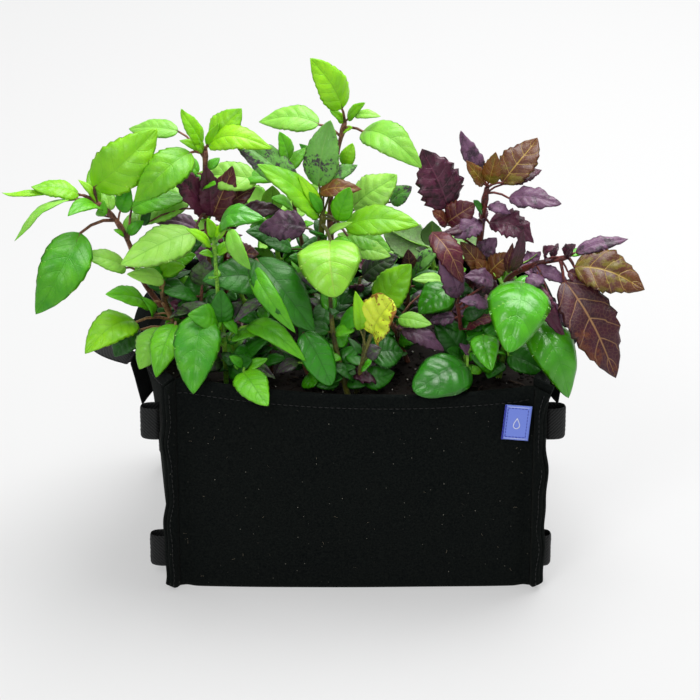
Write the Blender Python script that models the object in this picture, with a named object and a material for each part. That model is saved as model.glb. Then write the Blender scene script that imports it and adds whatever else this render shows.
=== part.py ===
"""Mixed basil growing in a square felt grow bag with webbing loops and two carry handles.

Units are metres, +Z is up and -Y is the front. The origin is the middle of the bag's base.
"""

import math
from typing import NamedTuple

import bmesh
import bpy
from mathutils import Matrix, Vector

MM = 0.001
GAP = 0.3 * MM

# Bag: the corners are where two felt panels meet and are sewn face to face.
CORNER_X = 142 * MM
CORNER_Y = 98 * MM
BAG_HEIGHT = 190 * MM
FELT = 3 * MM
HEM_DEPTH = 15 * MM
HEM_EXTRA = 2.4 * MM
FLANGE_LENGTH = 10 * MM
FLANGE_ANGLE = math.radians(54)
FRONT_SAG = 13 * MM
SIDE_DIP = 4 * MM
FACE_BULGE = 8 * MM
BASE_INSET = 2.2 * MM

# Fill of the bag.
SOIL_TOP = 163 * MM
SOIL_CLEARANCE = 0.8 * MM
PLUG_TOP_RADIUS = 25 * MM
PLUG_BOTTOM_RADIUS = 19 * MM
PLUG_DEPTH = 56 * MM
PLUG_SIDES = 14

# Webbing.
WEB_WIDTH = 28 * MM
WEB_THICK = 1.6 * MM
LOOP_REACH = {("left", "upper"): 15 * MM, ("left", "lower"): 14.5 * MM,
              ("right", "upper"): 15 * MM, ("right", "lower"): 9 * MM}
LOOP_HALF_OPENING = 5.4 * MM
LOOP_INSET = 13 * MM
LOOP_UPPER_Z = 145 * MM
LOOP_LOWER_Z = 27 * MM
HANDLE_HALF_SPAN = 26 * MM
HANDLE_FOOT_Z = 132 * MM
HANDLE_BEND_Z = 167 * MM
HANDLE_WIDTH = 22 * MM
LEFT_FLOP, LEFT_HANDLE_REACH = math.radians(5), 32 * MM
RIGHT_FLOP, RIGHT_HANDLE_REACH = math.radians(50), 26 * MM
HANDLE_POINTING = 1.2

# Woven label.
LABEL_SIZE = (21 * MM, 0.8 * MM, 31 * MM)
LABEL_PLACE = (126 * MM, -103.0 * MM, 154 * MM)
LABEL_LEAN = math.radians(5)

# Leaves and stems.
STEM_SIDES = 6
LEAF_HALF_THICK = 0.8 * MM
PETIOLE_HALF_WIDTH = 1.1 * MM
LEAF_STATIONS = ((0.0, 0.0), (0.16, 0.0), (0.42, 1.0), (0.74, 0.72), (1.0, 0.0))
LEAF_FACING = Vector((0.0, -0.5, 0.866))


class Leaf(NamedTuple):
    """One leaf: where it leaves its stem (0 root, 1 apex), its tip and width in mm, its arch
    as a share of its length, and its roll about its own length in degrees."""

    at: float
    tip: tuple
    width: float
    arch: float = 0.1
    roll: float = 0.0


class Shoot(NamedTuple):
    """One stem, by its points in mm, with its radius in mm, its colour and its leaves."""

    name: str
    stem: tuple
    radius: float
    colour: tuple
    leaves: tuple


class Swell(NamedTuple):
    """How far a side wall bows out at half height and at its rim, in metres."""

    belly: float
    rim: float


class Plug(NamedTuple):
    """One nursery root ball, by its node name and the place of its middle in mm."""

    name: str
    place: tuple


LEFT_SWELL = Swell(13 * MM, 34 * MM)
RIGHT_SWELL = Swell(7 * MM, 20 * MM)

FELT_BLACK = (0.012, 0.013, 0.014)
WEB_BLACK = (0.01, 0.01, 0.01)
LABEL_BLUE = (0.13, 0.2, 0.75)
SOIL_BROWN = (0.02, 0.014, 0.01)
ROOT_BROWN = (0.09, 0.06, 0.035)
SWEET_GREEN = (0.16, 0.42, 0.03)
DEEP_GREEN = (0.04, 0.2, 0.02)
GREY_GREEN = (0.2, 0.32, 0.14)
PURPLE = (0.09, 0.02, 0.06)
YELLOW = (0.55, 0.62, 0.05)

SHOOTS = (
    Shoot("left_sweet_basil_shoot",
          ((-134, 4, 163), (-150, 2, 192), (-168, -4, 226), (-178, -8, 262), (-188, -10, 284),
           (-202, -12, 300)),
          2.3, SWEET_GREEN,
          (Leaf(1.0, (-163, 5, 354), 38, 0.14, 25),
           Leaf(1.0, (-268, -22, 320), 24, 0.14, 20),
           Leaf(0.93, (-263, -52, 286), 20, 0.18, 50),
           Leaf(0.85, (-247, -73, 234), 38, 0.28, -10),
           Leaf(0.8, (-178, -6, 316), 15, 0.1, 12),
           Leaf(0.62, (-138, 30, 288), 24, 0.14, 8),
           Leaf(0.5, (-214, -34, 268), 20, 0.14, 6))),
    Shoot("left_rim_shoot",
          ((-128, -14, 163), (-142, -20, 192), (-152, -24, 216)),
          1.9, SWEET_GREEN,
          (Leaf(1.0, (-194, -52, 240), 26, 0.12, 15),
           Leaf(0.7, (-208, -72, 197), 30, 0.22, 0),
           Leaf(0.45, (-166, -92, 196), 32, 0.4, 0))),
    Shoot("front_left_shoot",
          ((-101, -62, 163), (-103, -60, 211), (-107, -58, 238), (-109, -56, 290)),
          2.0, SWEET_GREEN,
          (Leaf(1.0, (-74, -70, 322), 26, 0.25, -15),
           Leaf(0.92, (-80, -92, 284), 14, 0.3, 30),
           Leaf(0.95, (-130, -70, 306), 12, 0.1, 0),
           Leaf(0.5, (-124, -118, 191), 36, 0.18, 0))),
    Shoot("top_left_shoot",
          ((-114, 14, 163), (-116, 13, 226), (-118, 10, 286), (-117, 8, 336)),
          2.2, SWEET_GREEN,
          (Leaf(1.0, (-135, 4, 372), 18, 0.1, 30),
           Leaf(1.0, (-68, -14, 342), 30, 0.38, 0),
           Leaf(0.97, (-171, -30, 320), 36, 0.16, -10),
           Leaf(0.95, (-176, 42, 332), 26, 0.12, 0),
           Leaf(0.72, (-182, -44, 264), 36, 0.12, 0))),
    Shoot("purple_centre_shoot",
          ((-96, 28, 163), (-102, 27, 190), (-104, 28, 229), (-100, 30, 262)),
          2.0, PURPLE,
          (Leaf(1.0, (-152, 40, 318), 26, 0.1, 0),
           Leaf(0.98, (-100, 52, 306), 26, 0.1, 0),
           Leaf(0.95, (-62, 50, 282), 24, 0.12, 0),
           Leaf(0.75, (-66, 18, 258), 16, 0.15, 20))),
    Shoot("top_centre_shoot",
          ((-8, 40, 163), (-14, 38, 194), (-20, 35, 259), (-15, 30, 315), (-8, 28, 350)),
          2.3, SWEET_GREEN,
          (Leaf(1.0, (-35, 22, 408), 26, 0.08, -15),
           Leaf(0.99, (53, -16, 326), 26, 0.3, 0),
           Leaf(0.93, (-75, 44, 347), 26, 0.12, 10),
           Leaf(0.62, (38, 42, 300), 34, 0.1, 0))),
    Shoot("centre_shoot",
          ((-12, -20, 163), (-18, -22, 186), (-21, -25, 229), (-27, -25, 265), (-25, -25, 284)),
          2.8, GREY_GREEN,
          (Leaf(1.0, (-92, 14, 345), 28, 0.1, 0),
           Leaf(1.0, (-76, -30, 338), 28, 0.1, 10),
           Leaf(1.0, (-22, 4, 358), 26, 0.06, 0),
           Leaf(0.98, (47, -22, 288), 26, 0.14, 0),
           Leaf(0.96, (-22, -92, 252), 50, 0.25, 0),
           Leaf(0.85, (30, -6, 256), 26, 0.12, 0),
           Leaf(0.8, (-78, -4, 262), 24, 0.2, 0))),
    Shoot("centre_dark_shoot",
          ((-66, -44, 163), (-70, -46, 205), (-76, -50, 262)),
          2.0, DEEP_GREEN,
          (Leaf(1.0, (-34, -84, 226), 34, 0.3, 0),
           Leaf(0.9, (-124, -22, 232), 30, 0.15, 0))),
    Shoot("arching_leaf_shoot",
          ((-84, -52, 163), (-92, -56, 196)),
          1.7, SWEET_GREEN,
          (Leaf(1.0, (-40, -94, 202), 22, 0.3, 0),
           Leaf(0.7, (-62, -80, 180), 14, 0.12, 0))),
    Shoot("rim_seedling",
          ((-88, -74, 163), (-86, -80, 190)),
          1.6, SWEET_GREEN,
          (Leaf(1.0, (-68, -122, 180), 26, 0.3, 0),
           Leaf(0.9, (-108, -84, 196), 10, 0.1, 0))),
    Shoot("low_front_seedling",
          ((-16, -72, 163), (-20, -72, 180)),
          1.6, DEEP_GREEN,
          (Leaf(1.0, (-44, -60, 218), 24, 0.1, 0),
           Leaf(0.9, (-50, -78, 186), 14, 0.15, 0))),
    Shoot("yellow_leaf_shoot",
          ((0, -74, 163), (4, -80, 195), (10, -82, 222)),
          1.9, YELLOW,
          (Leaf(1.0, (24, -88, 259), 28, 0.08, 0),)),
    Shoot("middle_right_shoot",
          ((44, -26, 163), (34, -34, 190), (28, -42, 214)),
          2.0, SWEET_GREEN,
          (Leaf(1.0, (42, -34, 258), 32, 0.08, 0),
           Leaf(0.95, (62, -62, 222), 16, 0.1, 0),
           Leaf(0.6, (69, -75, 207), 18, 0.25, 0),
           Leaf(0.45, (58, 6, 214), 28, 0.15, 0))),
    Shoot("broad_leaf_shoot",
          ((84, -44, 163), (88, -54, 186)),
          1.8, DEEP_GREEN,
          (Leaf(1.0, (44, -106, 187), 34, 0.17, 0),
           Leaf(0.9, (108, -92, 198), 24, 0.2, 0))),
    Shoot("glossy_right_shoot",
          ((112, -54, 163), (118, -50, 196), (126, -46, 236)),
          2.2, DEEP_GREEN,
          (Leaf(1.0, (118, -108, 220), 46, 0.28, 0),
           Leaf(0.95, (172, -82, 166), 40, 0.35, 0),
           Leaf(0.4, (132, -80, 182), 20, 0.15, 0))),
    Shoot("purple_tall_shoot",
          ((92, -20, 163), (88, -18, 189), (91, -15, 223), (97, -12, 258), (101, -8, 296), (103, -6, 310)),
          2.4, PURPLE,
          (Leaf(0.72, (50, 4, 338), 32, 0.08, 0),
           Leaf(1.0, (85, 0, 352), 16, 0.05, 0),
           Leaf(1.0, (143, 26, 336), 32, 0.08, 0),
           Leaf(0.97, (160, -22, 306), 22, 0.12, 0),
           Leaf(0.68, (80, -58, 262), 24, 0.3, 0),
           Leaf(0.8, (135, -30, 264), 30, 0.25, 0))),
    Shoot("purple_side_shoot",
          ((112, -24, 163), (112, -25, 202), (118, -26, 236), (137, -30, 253), (160, -34, 264)),
          2.2, PURPLE,
          (Leaf(1.0, (228, -50, 243), 36, 0.14, 0),
           Leaf(0.98, (204, -78, 182), 42, 0.22, 0),
           Leaf(1.0, (212, -20, 277), 15, 0.1, 0),
           Leaf(0.82, (162, -66, 212), 18, 0.25, 0))),
    Shoot("back_left_shoot",
          ((-54, 62, 163), (-62, 70, 205), (-66, 76, 240)),
          2.1, SWEET_GREEN,
          (Leaf(1.0, (-104, 92, 262), 34, 0.15, 0),
           Leaf(1.0, (-30, 96, 262), 34, 0.15, 0),
           Leaf(0.7, (-74, 128, 214), 36, 0.25, 0))),
    Shoot("back_right_shoot",
          ((62, 58, 163), (64, 66, 192), (62, 72, 212)),
          2.1, GREY_GREEN,
          (Leaf(1.0, (22, 90, 226), 32, 0.15, 0),
           Leaf(0.95, (100, 92, 220), 32, 0.15, 0),
           Leaf(0.7, (60, 122, 196), 34, 0.25, 0))),
)

PLUGS = (
    Plug("left_root_ball", (-112, 10)),
    Plug("front_left_root_ball", (-92, -58)),
    Plug("centre_root_ball", (-12, 16)),
    Plug("front_centre_root_ball", (-14, -62)),
    Plug("middle_right_root_ball", (44, -22)),
    Plug("right_root_ball", (98, -34)),
    Plug("back_left_root_ball", (-54, 62)),
    Plug("back_right_root_ball", (62, 58)),
)


def clear_scene():
    """Removes every object that the file already holds."""
    for thing in list(bpy.data.objects):
        bpy.data.objects.remove(thing)


def finish(name, colour, roughness, metallic=0.0):
    """Returns a Principled material."""
    material = bpy.data.materials.new(name)
    material.use_nodes = True
    shader = material.node_tree.nodes["Principled BSDF"]
    shader.inputs["Base Color"].default_value = (*colour, 1.0)
    shader.inputs["Roughness"].default_value = roughness
    shader.inputs["Metallic"].default_value = metallic
    return material


def add_object(name, mesh_builder, material, smooth_angle=None):
    """Makes one named object from a bmesh, with its faces pointing out."""
    bmesh.ops.recalc_face_normals(mesh_builder, faces=mesh_builder.faces)
    mesh = bpy.data.meshes.new(name)
    mesh_builder.to_mesh(mesh)
    mesh_builder.free()
    mesh.materials.append(material)
    if smooth_angle is not None:
        mesh.shade_smooth()
        mesh.set_sharp_from_angle(angle=smooth_angle)
    thing = bpy.data.objects.new(name, mesh)
    bpy.context.scene.collection.objects.link(thing)
    return thing


def loft(mesh_builder, rings):
    """Joins rings of points, which all have the same count, and caps both ends."""
    rows = [[mesh_builder.verts.new(point) for point in ring] for ring in rings]
    count = len(rows[0])
    for lower, upper in zip(rows, rows[1:]):
        for i in range(count):
            j = (i + 1) % count
            mesh_builder.faces.new((lower[i], lower[j], upper[j], upper[i]))
    mesh_builder.faces.new(rows[0])
    mesh_builder.faces.new(rows[-1])


# Felt panels -----------------------------------------------------------------------------

def crown(share):
    """How far a wall bows out along its width: 0 at its corners and 1 in its middle."""
    return 1.0 - share * share


def front_plan(share, height):
    """A point of the front wall's middle surface in plan, by its share from -1 to 1."""
    swell = FACE_BULGE * crown(share) * (0.35 + 0.65 * math.sin(math.pi * min(height / BAG_HEIGHT, 1.0)))
    return Vector((CORNER_X * share, -CORNER_Y - swell, 0.0))


def side_bulge(height, swell):
    """How far a side wall bows out in its middle at a height."""
    rise = height / BAG_HEIGHT
    foot = swell.belly / 2
    return foot + (swell.belly - foot) * math.sin(math.pi * min(rise, 1.0)) + (swell.rim - foot) * rise ** 4


def side_plan(share, height, swell):
    """A point of the right side wall's middle surface in plan, front to back."""
    return Vector((CORNER_X + side_bulge(height, swell) * crown(share), CORNER_Y * share, 0.0))


def flange_points(corner, outward, offset):
    """The tip and root of one layer of a sewn corner, offset sideways from the seam."""
    across = Vector((outward.y, -outward.x, 0.0)) * offset
    return corner + outward * FLANGE_LENGTH + across, corner + outward * (1.5 * MM) + across


def panel_rings(path, heights):
    """The closed outline of a felt wall at each height, outer side first.

    path gives the middle line for a height share, and heights pairs each share with the
    extra thickness there, which lies on the inner side.
    """
    rings = []
    for share, extra in heights:
        line = path(share)
        outer, inner = [], []
        for i, point in enumerate(line):
            before, after = line[max(i - 1, 0)], line[min(i + 1, len(line) - 1)]
            along = Vector((after.x - before.x, after.y - before.y, 0.0)).normalized()
            out = Vector((along.y, -along.x, 0.0))
            thicker = extra if 3 <= i <= len(line) - 4 else 0.0
            outer.append(point + out * (FELT / 2))
            inner.append(point - out * (FELT / 2 + thicker))
        rings.append(outer + inner[::-1])
    return rings


HEM_START = 1.0 - HEM_DEPTH / BAG_HEIGHT
PANEL_HEIGHTS = ((0.0, 0.0), (0.2, 0.0), (0.45, 0.0), (0.7, 0.0), (HEM_START - 0.012, 0.0),
                 (HEM_START, HEM_EXTRA), (1.0, HEM_EXTRA))
FACE_SHARES = (-0.985, -0.8, -0.55, -0.28, 0.0, 0.28, 0.55, 0.8, 0.985)


def face_panel(name, side, material, rim):
    """The front wall (side -1) or back wall (side 1), with its turned-out seam edges."""
    outward = Vector((math.cos(FLANGE_ANGLE), -math.sin(FLANGE_ANGLE), 0.0))
    layer = -(FELT + GAP) / 2

    def path(height_share):
        corner = Vector((CORNER_X, -CORNER_Y, 0.0))
        tip, root = flange_points(corner, outward, -layer)
        points = [Vector((-tip.x, tip.y, 0.0)), Vector((-root.x, root.y, 0.0))]
        points += [front_plan(share, height_share * BAG_HEIGHT) for share in FACE_SHARES]
        points += [root, tip]
        for point in points:
            point.z = height_share * (BAG_HEIGHT + rim(point.x / CORNER_X))
        if side > 0:
            points = [Vector((-point.x, -point.y, point.z)) for point in points]
        return points

    mesh_builder = bmesh.new()
    loft(mesh_builder, panel_rings(path, PANEL_HEIGHTS))
    return add_object(name, mesh_builder, material, math.radians(35))


def side_panel(name, side, swell, material):
    """The right wall (side 1) or left wall (side -1), with its turned-out seam edges."""
    outward = Vector((math.cos(FLANGE_ANGLE), -math.sin(FLANGE_ANGLE), 0.0))
    layer = (FELT + GAP) / 2

    def path(height_share):
        corner = Vector((CORNER_X, -CORNER_Y, 0.0))
        tip, root = flange_points(corner, outward, -layer)
        points = [tip, root]
        points += [side_plan(share, height_share * BAG_HEIGHT, swell) for share in FACE_SHARES]
        points += [Vector((root.x, -root.y, 0.0)), Vector((tip.x, -tip.y, 0.0))]
        for point in points:
            dip = SIDE_DIP * crown(max(-1.0, min(1.0, point.y / CORNER_Y)))
            point.z = height_share * (BAG_HEIGHT - dip)
        if side < 0:
            points = [Vector((-point.x, -point.y, point.z)) for point in points]
        return points

    mesh_builder = bmesh.new()
    loft(mesh_builder, panel_rings(path, PANEL_HEIGHTS))
    return add_object(name, mesh_builder, material, math.radians(35))


def front_rim(share):
    """The front edge sags towards its middle, a little right of centre."""
    return -FRONT_SAG * max(0.0, 1.0 - (share - 0.2) ** 2 / 1.2)


def back_rim(share):
    """The back edge stands a little higher in its middle."""
    return 6 * MM * crown(max(-1.0, min(1.0, share)))


def base_panel(material):
    """The flat felt base inside the walls."""
    half_x, half_y = CORNER_X - BASE_INSET, CORNER_Y - BASE_INSET
    outline = [Vector((half_x * a, half_y * b, 0.0)) for a, b in ((-1, -1), (1, -1), (1, 1), (-1, 1))]
    mesh_builder = bmesh.new()
    loft(mesh_builder, [outline, [point + Vector((0, 0, FELT)) for point in outline]])
    return add_object("base_panel", mesh_builder, material)


# Fill ------------------------------------------------------------------------------------

def soil_ring(height):
    """The closed outline of the potting mix at a height, clear of the walls and their hems."""
    inset = FELT / 2 + SOIL_CLEARANCE + HEM_EXTRA * (height / SOIL_TOP) ** 6
    shares = (-0.94, -0.6, -0.2, 0.2, 0.6, 0.94)
    ring = [front_plan(share, height) + Vector((0.0, inset, 0.0)) for share in shares]
    ring += [side_plan(share, height, RIGHT_SWELL) - Vector((inset, 0.0, 0.0)) for share in shares]
    ring += [Vector((-p.x, -p.y, 0.0)) for p in ring[:len(shares)]]
    left = [side_plan(share, height, LEFT_SWELL) - Vector((inset, 0.0, 0.0)) for share in shares]
    ring += [Vector((-p.x, -p.y, 0.0)) for p in left]
    return [point + Vector((0.0, 0.0, height)) for point in ring]


def cone(name, place, material, grow=0.0, rise=0.0):
    """A tapered root ball hanging down from the soil's top, or the pocket that it leaves."""
    mesh_builder = bmesh.new()
    bottom = SOIL_TOP - PLUG_DEPTH - grow
    flare = rise * (PLUG_TOP_RADIUS - PLUG_BOTTOM_RADIUS) / PLUG_DEPTH
    rings = []
    bottom_ring = (PLUG_BOTTOM_RADIUS + grow, bottom)
    top_ring = (PLUG_TOP_RADIUS + grow + flare, SOIL_TOP + rise)
    for radius, height in (bottom_ring, top_ring):
        turn = [2 * math.pi * i / PLUG_SIDES for i in range(PLUG_SIDES)]
        rings.append([Vector((place[0] * MM + radius * math.cos(a), place[1] * MM + radius * math.sin(a),
                              height)) for a in turn])
    loft(mesh_builder, rings)
    return add_object(name, mesh_builder, material, math.radians(40))


def potting_mix(material):
    """The fill of the bag, with an open pocket for each root ball."""
    mesh_builder = bmesh.new()
    bottom = FELT + GAP
    levels = [bottom + (SOIL_TOP - bottom) * share for share in (0.0, 0.3, 0.6, 0.85, 1.0)]
    loft(mesh_builder, [soil_ring(level) for level in levels])
    fill = add_object("potting_mix", mesh_builder, material)
    for plug in PLUGS:
        cutter = cone(plug.name + "_pocket", plug.place, material, grow=GAP * 2, rise=10 * MM)
        cutter.hide_render = True
        cutter.display_type = "WIRE"
        cut = fill.modifiers.new(plug.name, "BOOLEAN")
        cut.operation = "DIFFERENCE"
        cut.solver = "EXACT"
        cut.object = cutter
    return fill


# Webbing ---------------------------------------------------------------------------------

def ribbon(name, points, widths, strap, material):
    """A strap of a width swept along its points. widths gives its direction across at each."""
    rings = []
    for i, point in enumerate(points):
        along = (points[min(i + 1, len(points) - 1)] - points[max(i - 1, 0)]).normalized()
        across = (widths[i] - along * widths[i].dot(along)).normalized()
        face = along.cross(across).normalized()
        half, thick = across * (strap / 2), face * (WEB_THICK / 2)
        rings.append([point + a * half + b * thick for a, b in ((-1, -1), (1, -1), (1, 1), (-1, 1))])
    mesh_builder = bmesh.new()
    loft(mesh_builder, rings)
    return add_object(name, mesh_builder, material, math.radians(50))


def wall_x(y, height, swell):
    """The outer face of a side wall at a depth and a height."""
    return CORNER_X + side_bulge(height + SIDE_DIP, swell) * crown(y / CORNER_Y) + FELT / 2


def corner_loop(name, side, end, height, reach, swell, material):
    """A webbing loop standing out from a side wall next to a corner, open up and down."""
    middle_y = CORNER_Y - LOOP_INSET
    root_x = max(wall_x(middle_y + s * LOOP_HALF_OPENING, height + h, swell)
                 for s in (-1, 1) for h in (-WEB_WIDTH / 2, WEB_WIDTH / 2)) + WEB_THICK / 2 + GAP
    turns = 12
    points = []
    for i in range(turns + 1):
        angle = math.pi * (i / turns - 0.5)
        out = reach * math.cos(angle) ** 0.6
        points.append(Vector((side * (root_x + out), end * (middle_y + LOOP_HALF_OPENING * math.sin(angle)),
                              height)))
    return ribbon(name, points, [Vector((0, 0, 1))] * len(points), WEB_WIDTH, material)


def handle(name, side, flop, reach, swell, material):
    """A carry handle sewn outside a side wall, bent outward over its length."""
    rise = Vector((math.cos(flop), 0.0, math.sin(flop)))
    hinge = Vector((wall_x(0.0, HANDLE_BEND_Z, swell) + WEB_THICK + GAP, 0.0, HANDLE_BEND_Z))
    points, widths = [], []
    steps = 14
    for i in range(steps + 1):
        angle = math.pi * i / steps
        spread = Vector((0.0, -math.cos(angle) * HANDLE_HALF_SPAN, 0.0))
        lift = math.sin(angle) ** HANDLE_POINTING * reach
        points.append(hinge + spread + rise * lift)
        radial = spread.normalized() * abs(math.cos(angle)) + rise * math.sin(angle)
        widths.append(radial)
    feet = []
    for y in (-HANDLE_HALF_SPAN, HANDLE_HALF_SPAN):
        foot = wall_x(HANDLE_HALF_SPAN - HANDLE_WIDTH / 2, HANDLE_FOOT_Z, swell) + WEB_THICK / 2 + GAP
        feet.append(Vector((foot, y, HANDLE_FOOT_Z)))
    points = [feet[0]] + points + [feet[1]]
    across = Vector((0.0, 1.0, 0.0))
    widths = [-across] + widths + [across]
    if side < 0:
        points = [Vector((-p.x, p.y, p.z)) for p in points]
        widths = [Vector((-w.x, w.y, w.z)) for w in widths]
    return ribbon(name, points, widths, HANDLE_WIDTH, material)


def label(material):
    """The small woven label sewn near the right end of the front wall."""
    half = [size / 2 for size in LABEL_SIZE]
    signs = ((-1, -1), (1, -1), (1, 1), (-1, 1))
    corners = [Vector((a * half[0], b * half[1], -half[2])) for a, b in signs]
    mesh_builder = bmesh.new()
    loft(mesh_builder, [corners, [c + Vector((0, 0, LABEL_SIZE[2])) for c in corners]])
    bmesh.ops.rotate(mesh_builder, verts=mesh_builder.verts, matrix=Matrix.Rotation(LABEL_LEAN, 3, "Y"))
    thing = add_object("woven_label", mesh_builder, material)
    thing.location = LABEL_PLACE
    return thing


# Plants ----------------------------------------------------------------------------------

def stem_point(stem, share):
    """The point of a stem at a share of its length."""
    lengths = [(b - a).length for a, b in zip(stem, stem[1:])]
    left = share * sum(lengths)
    for start, end, length in zip(stem, stem[1:], lengths):
        if left <= length:
            return start.lerp(end, left / length)
        left -= length
    return stem[-1].copy()


def stem_mesh(stem, radius):
    """A tapering stem as a tube of STEM_SIDES sides."""
    mesh_builder = bmesh.new()
    rings = []
    for i, point in enumerate(stem):
        along = (stem[min(i + 1, len(stem) - 1)] - stem[max(i - 1, 0)]).normalized()
        if i == 0:
            along = Vector((0.0, 0.0, 1.0))
        first = along.cross(Vector((0.0, 1.0, 0.0))).normalized()
        second = along.cross(first)
        size = radius * (1.15 - 0.4 * i / (len(stem) - 1))
        turn = [2 * math.pi * (k + 0.25) / STEM_SIDES for k in range(STEM_SIDES)]
        rings.append([point + (first * math.cos(a) + second * math.sin(a)) * size for a in turn])
    loft(mesh_builder, rings)
    return mesh_builder


def leaf_mesh(base, leaf):
    """A leaf as a thin arched lens with a short stalk, from its base on the stem."""
    tip = Vector(leaf.tip) * MM
    chord = tip - base
    length = chord.length
    along = chord.normalized()
    facing = (LEAF_FACING - along * LEAF_FACING.dot(along)).normalized()
    facing.rotate(Matrix.Rotation(math.radians(leaf.roll), 3, along))
    across = along.cross(facing)
    rings = []
    for share, fullness in LEAF_STATIONS:
        middle = base + chord * share + facing * (4 * share * (1 - share) * leaf.arch * length)
        half = PETIOLE_HALF_WIDTH + fullness * (leaf.width * MM / 2 - PETIOLE_HALF_WIDTH)
        rings.append([middle - across * half, middle + facing * LEAF_HALF_THICK,
                      middle + across * half, middle - facing * LEAF_HALF_THICK])
    mesh_builder = bmesh.new()
    loft(mesh_builder, rings)
    return mesh_builder


def shoot(recipe):
    """A stem united with its leaves into one closed body."""
    material = finish(recipe.name + "_leaf", recipe.colour, 0.45)
    stem = [Vector(point) * MM for point in recipe.stem]
    stem[0].z = SOIL_TOP + GAP
    plant = add_object(recipe.name, stem_mesh(stem, recipe.radius * MM), material, math.radians(50))
    for number, leaf in enumerate(recipe.leaves):
        outline = leaf_mesh(stem_point(stem, leaf.at), leaf)
        blade = add_object(f"{recipe.name}_blade_{number}", outline, material)
        blade.hide_render = True
        blade.display_type = "WIRE"
        join = plant.modifiers.new(blade.name, "BOOLEAN")
        join.operation = "UNION"
        join.solver = "EXACT"
        join.object = blade
    return plant


def main():
    """Builds the bag, its fill and the plants."""
    clear_scene()
    felt = finish("black_felt", FELT_BLACK, 0.95)
    webbing = finish("black_webbing", WEB_BLACK, 0.75)
    face_panel("front_panel", -1, felt, front_rim)
    face_panel("back_panel", 1, felt, back_rim)
    side_panel("left_side_panel", -1, LEFT_SWELL, felt)
    side_panel("right_side_panel", 1, RIGHT_SWELL, felt)
    base_panel(felt)
    potting_mix(finish("potting_mix", SOIL_BROWN, 1.0))
    roots = finish("root_ball", ROOT_BROWN, 0.95)
    for plug in PLUGS:
        cone(plug.name, plug.place, roots)
    for side, side_name, swell in ((-1, "left", LEFT_SWELL), (1, "right", RIGHT_SWELL)):
        for end, end_name in ((-1, "front"), (1, "back")):
            for height, level in ((LOOP_UPPER_Z, "upper"), (LOOP_LOWER_Z, "lower")):
                name = f"{side_name}_{end_name}_{level}_loop"
                corner_loop(name, side, end, height, LOOP_REACH[side_name, level], swell, webbing)
    handle("left_handle", -1, LEFT_FLOP, LEFT_HANDLE_REACH, LEFT_SWELL, webbing)
    handle("right_handle", 1, RIGHT_FLOP, RIGHT_HANDLE_REACH, RIGHT_SWELL, webbing)
    label(finish("woven_label", LABEL_BLUE, 0.6))
    for recipe in SHOOTS:
        shoot(recipe)


main()
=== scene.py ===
"""Mixed basil in a square felt grow bag: the finished look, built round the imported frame.

Recipes give places and sizes in millimetres, which MM turns to metres. +Z is up, -Y is the front,
and the origin is the middle of the bag's base.
"""

import logging
import math
import random
from dataclasses import dataclass
from enum import Enum
from typing import Any, NamedTuple, Optional, Sequence

import bpy
import numpy as np
from mathutils import Matrix, Vector, noise


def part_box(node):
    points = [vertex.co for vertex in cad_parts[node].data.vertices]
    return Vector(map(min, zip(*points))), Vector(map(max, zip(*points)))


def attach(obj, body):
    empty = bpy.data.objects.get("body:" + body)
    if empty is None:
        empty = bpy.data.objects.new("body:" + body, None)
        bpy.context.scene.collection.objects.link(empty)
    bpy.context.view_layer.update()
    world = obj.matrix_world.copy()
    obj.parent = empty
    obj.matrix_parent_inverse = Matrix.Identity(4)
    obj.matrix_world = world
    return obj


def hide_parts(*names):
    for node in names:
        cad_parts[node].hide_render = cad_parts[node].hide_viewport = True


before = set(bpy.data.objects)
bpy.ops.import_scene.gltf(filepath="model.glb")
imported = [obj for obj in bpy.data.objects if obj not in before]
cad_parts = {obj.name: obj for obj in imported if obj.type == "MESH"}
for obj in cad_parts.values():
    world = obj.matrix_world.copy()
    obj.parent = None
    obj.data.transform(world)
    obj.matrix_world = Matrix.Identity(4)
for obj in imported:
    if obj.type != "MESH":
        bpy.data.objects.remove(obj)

MM = 0.001
BODY = "root"
LOG = logging.getLogger("basil_bag")


# Colours and shader nodes ----------------------------------------------------------------

def srgb(code: str) -> tuple[float, float, float, float]:
    """Turn an sRGB hex colour into linear light.

    Args:
        code: Six hex digits after a hash, such as "#2f7a1c".

    Returns:
        Linear red, green, blue and an alpha of 1.
    """
    values = [int(code[i:i + 2], 16) / 255 for i in (1, 3, 5)]
    linear = [v / 12.92 if v <= 0.04045 else ((v + 0.055) / 1.055) ** 2.4 for v in values]
    return (linear[0], linear[1], linear[2], 1.0)


def add(tree: bpy.types.NodeTree, kind: str, inputs: Optional[dict[Any, Any]] = None,
        **settings: Any) -> bpy.types.Node:
    """Add one shader node, set its properties and fill or link its inputs.

    Args:
        tree: The material's node tree.
        kind: The node's type without its "ShaderNode" prefix.
        inputs: Socket name or index to a value, a node (its first live output) or an output.
        settings: Properties of the node.

    Returns:
        The new node.
    """
    node = tree.nodes.new("ShaderNode" + kind)
    for name, value in settings.items():
        setattr(node, name, value)
    for key, value in (inputs or {}).items():
        if isinstance(key, int):
            socket = node.inputs[key]
        else:
            socket = next(s for s in node.inputs if s.name == key and s.enabled)
        if isinstance(value, bpy.types.Node):
            value = next(out for out in value.outputs if out.enabled)
        if isinstance(value, bpy.types.NodeSocket):
            tree.links.new(value, socket)
        else:
            socket.default_value = value
    return node


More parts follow.
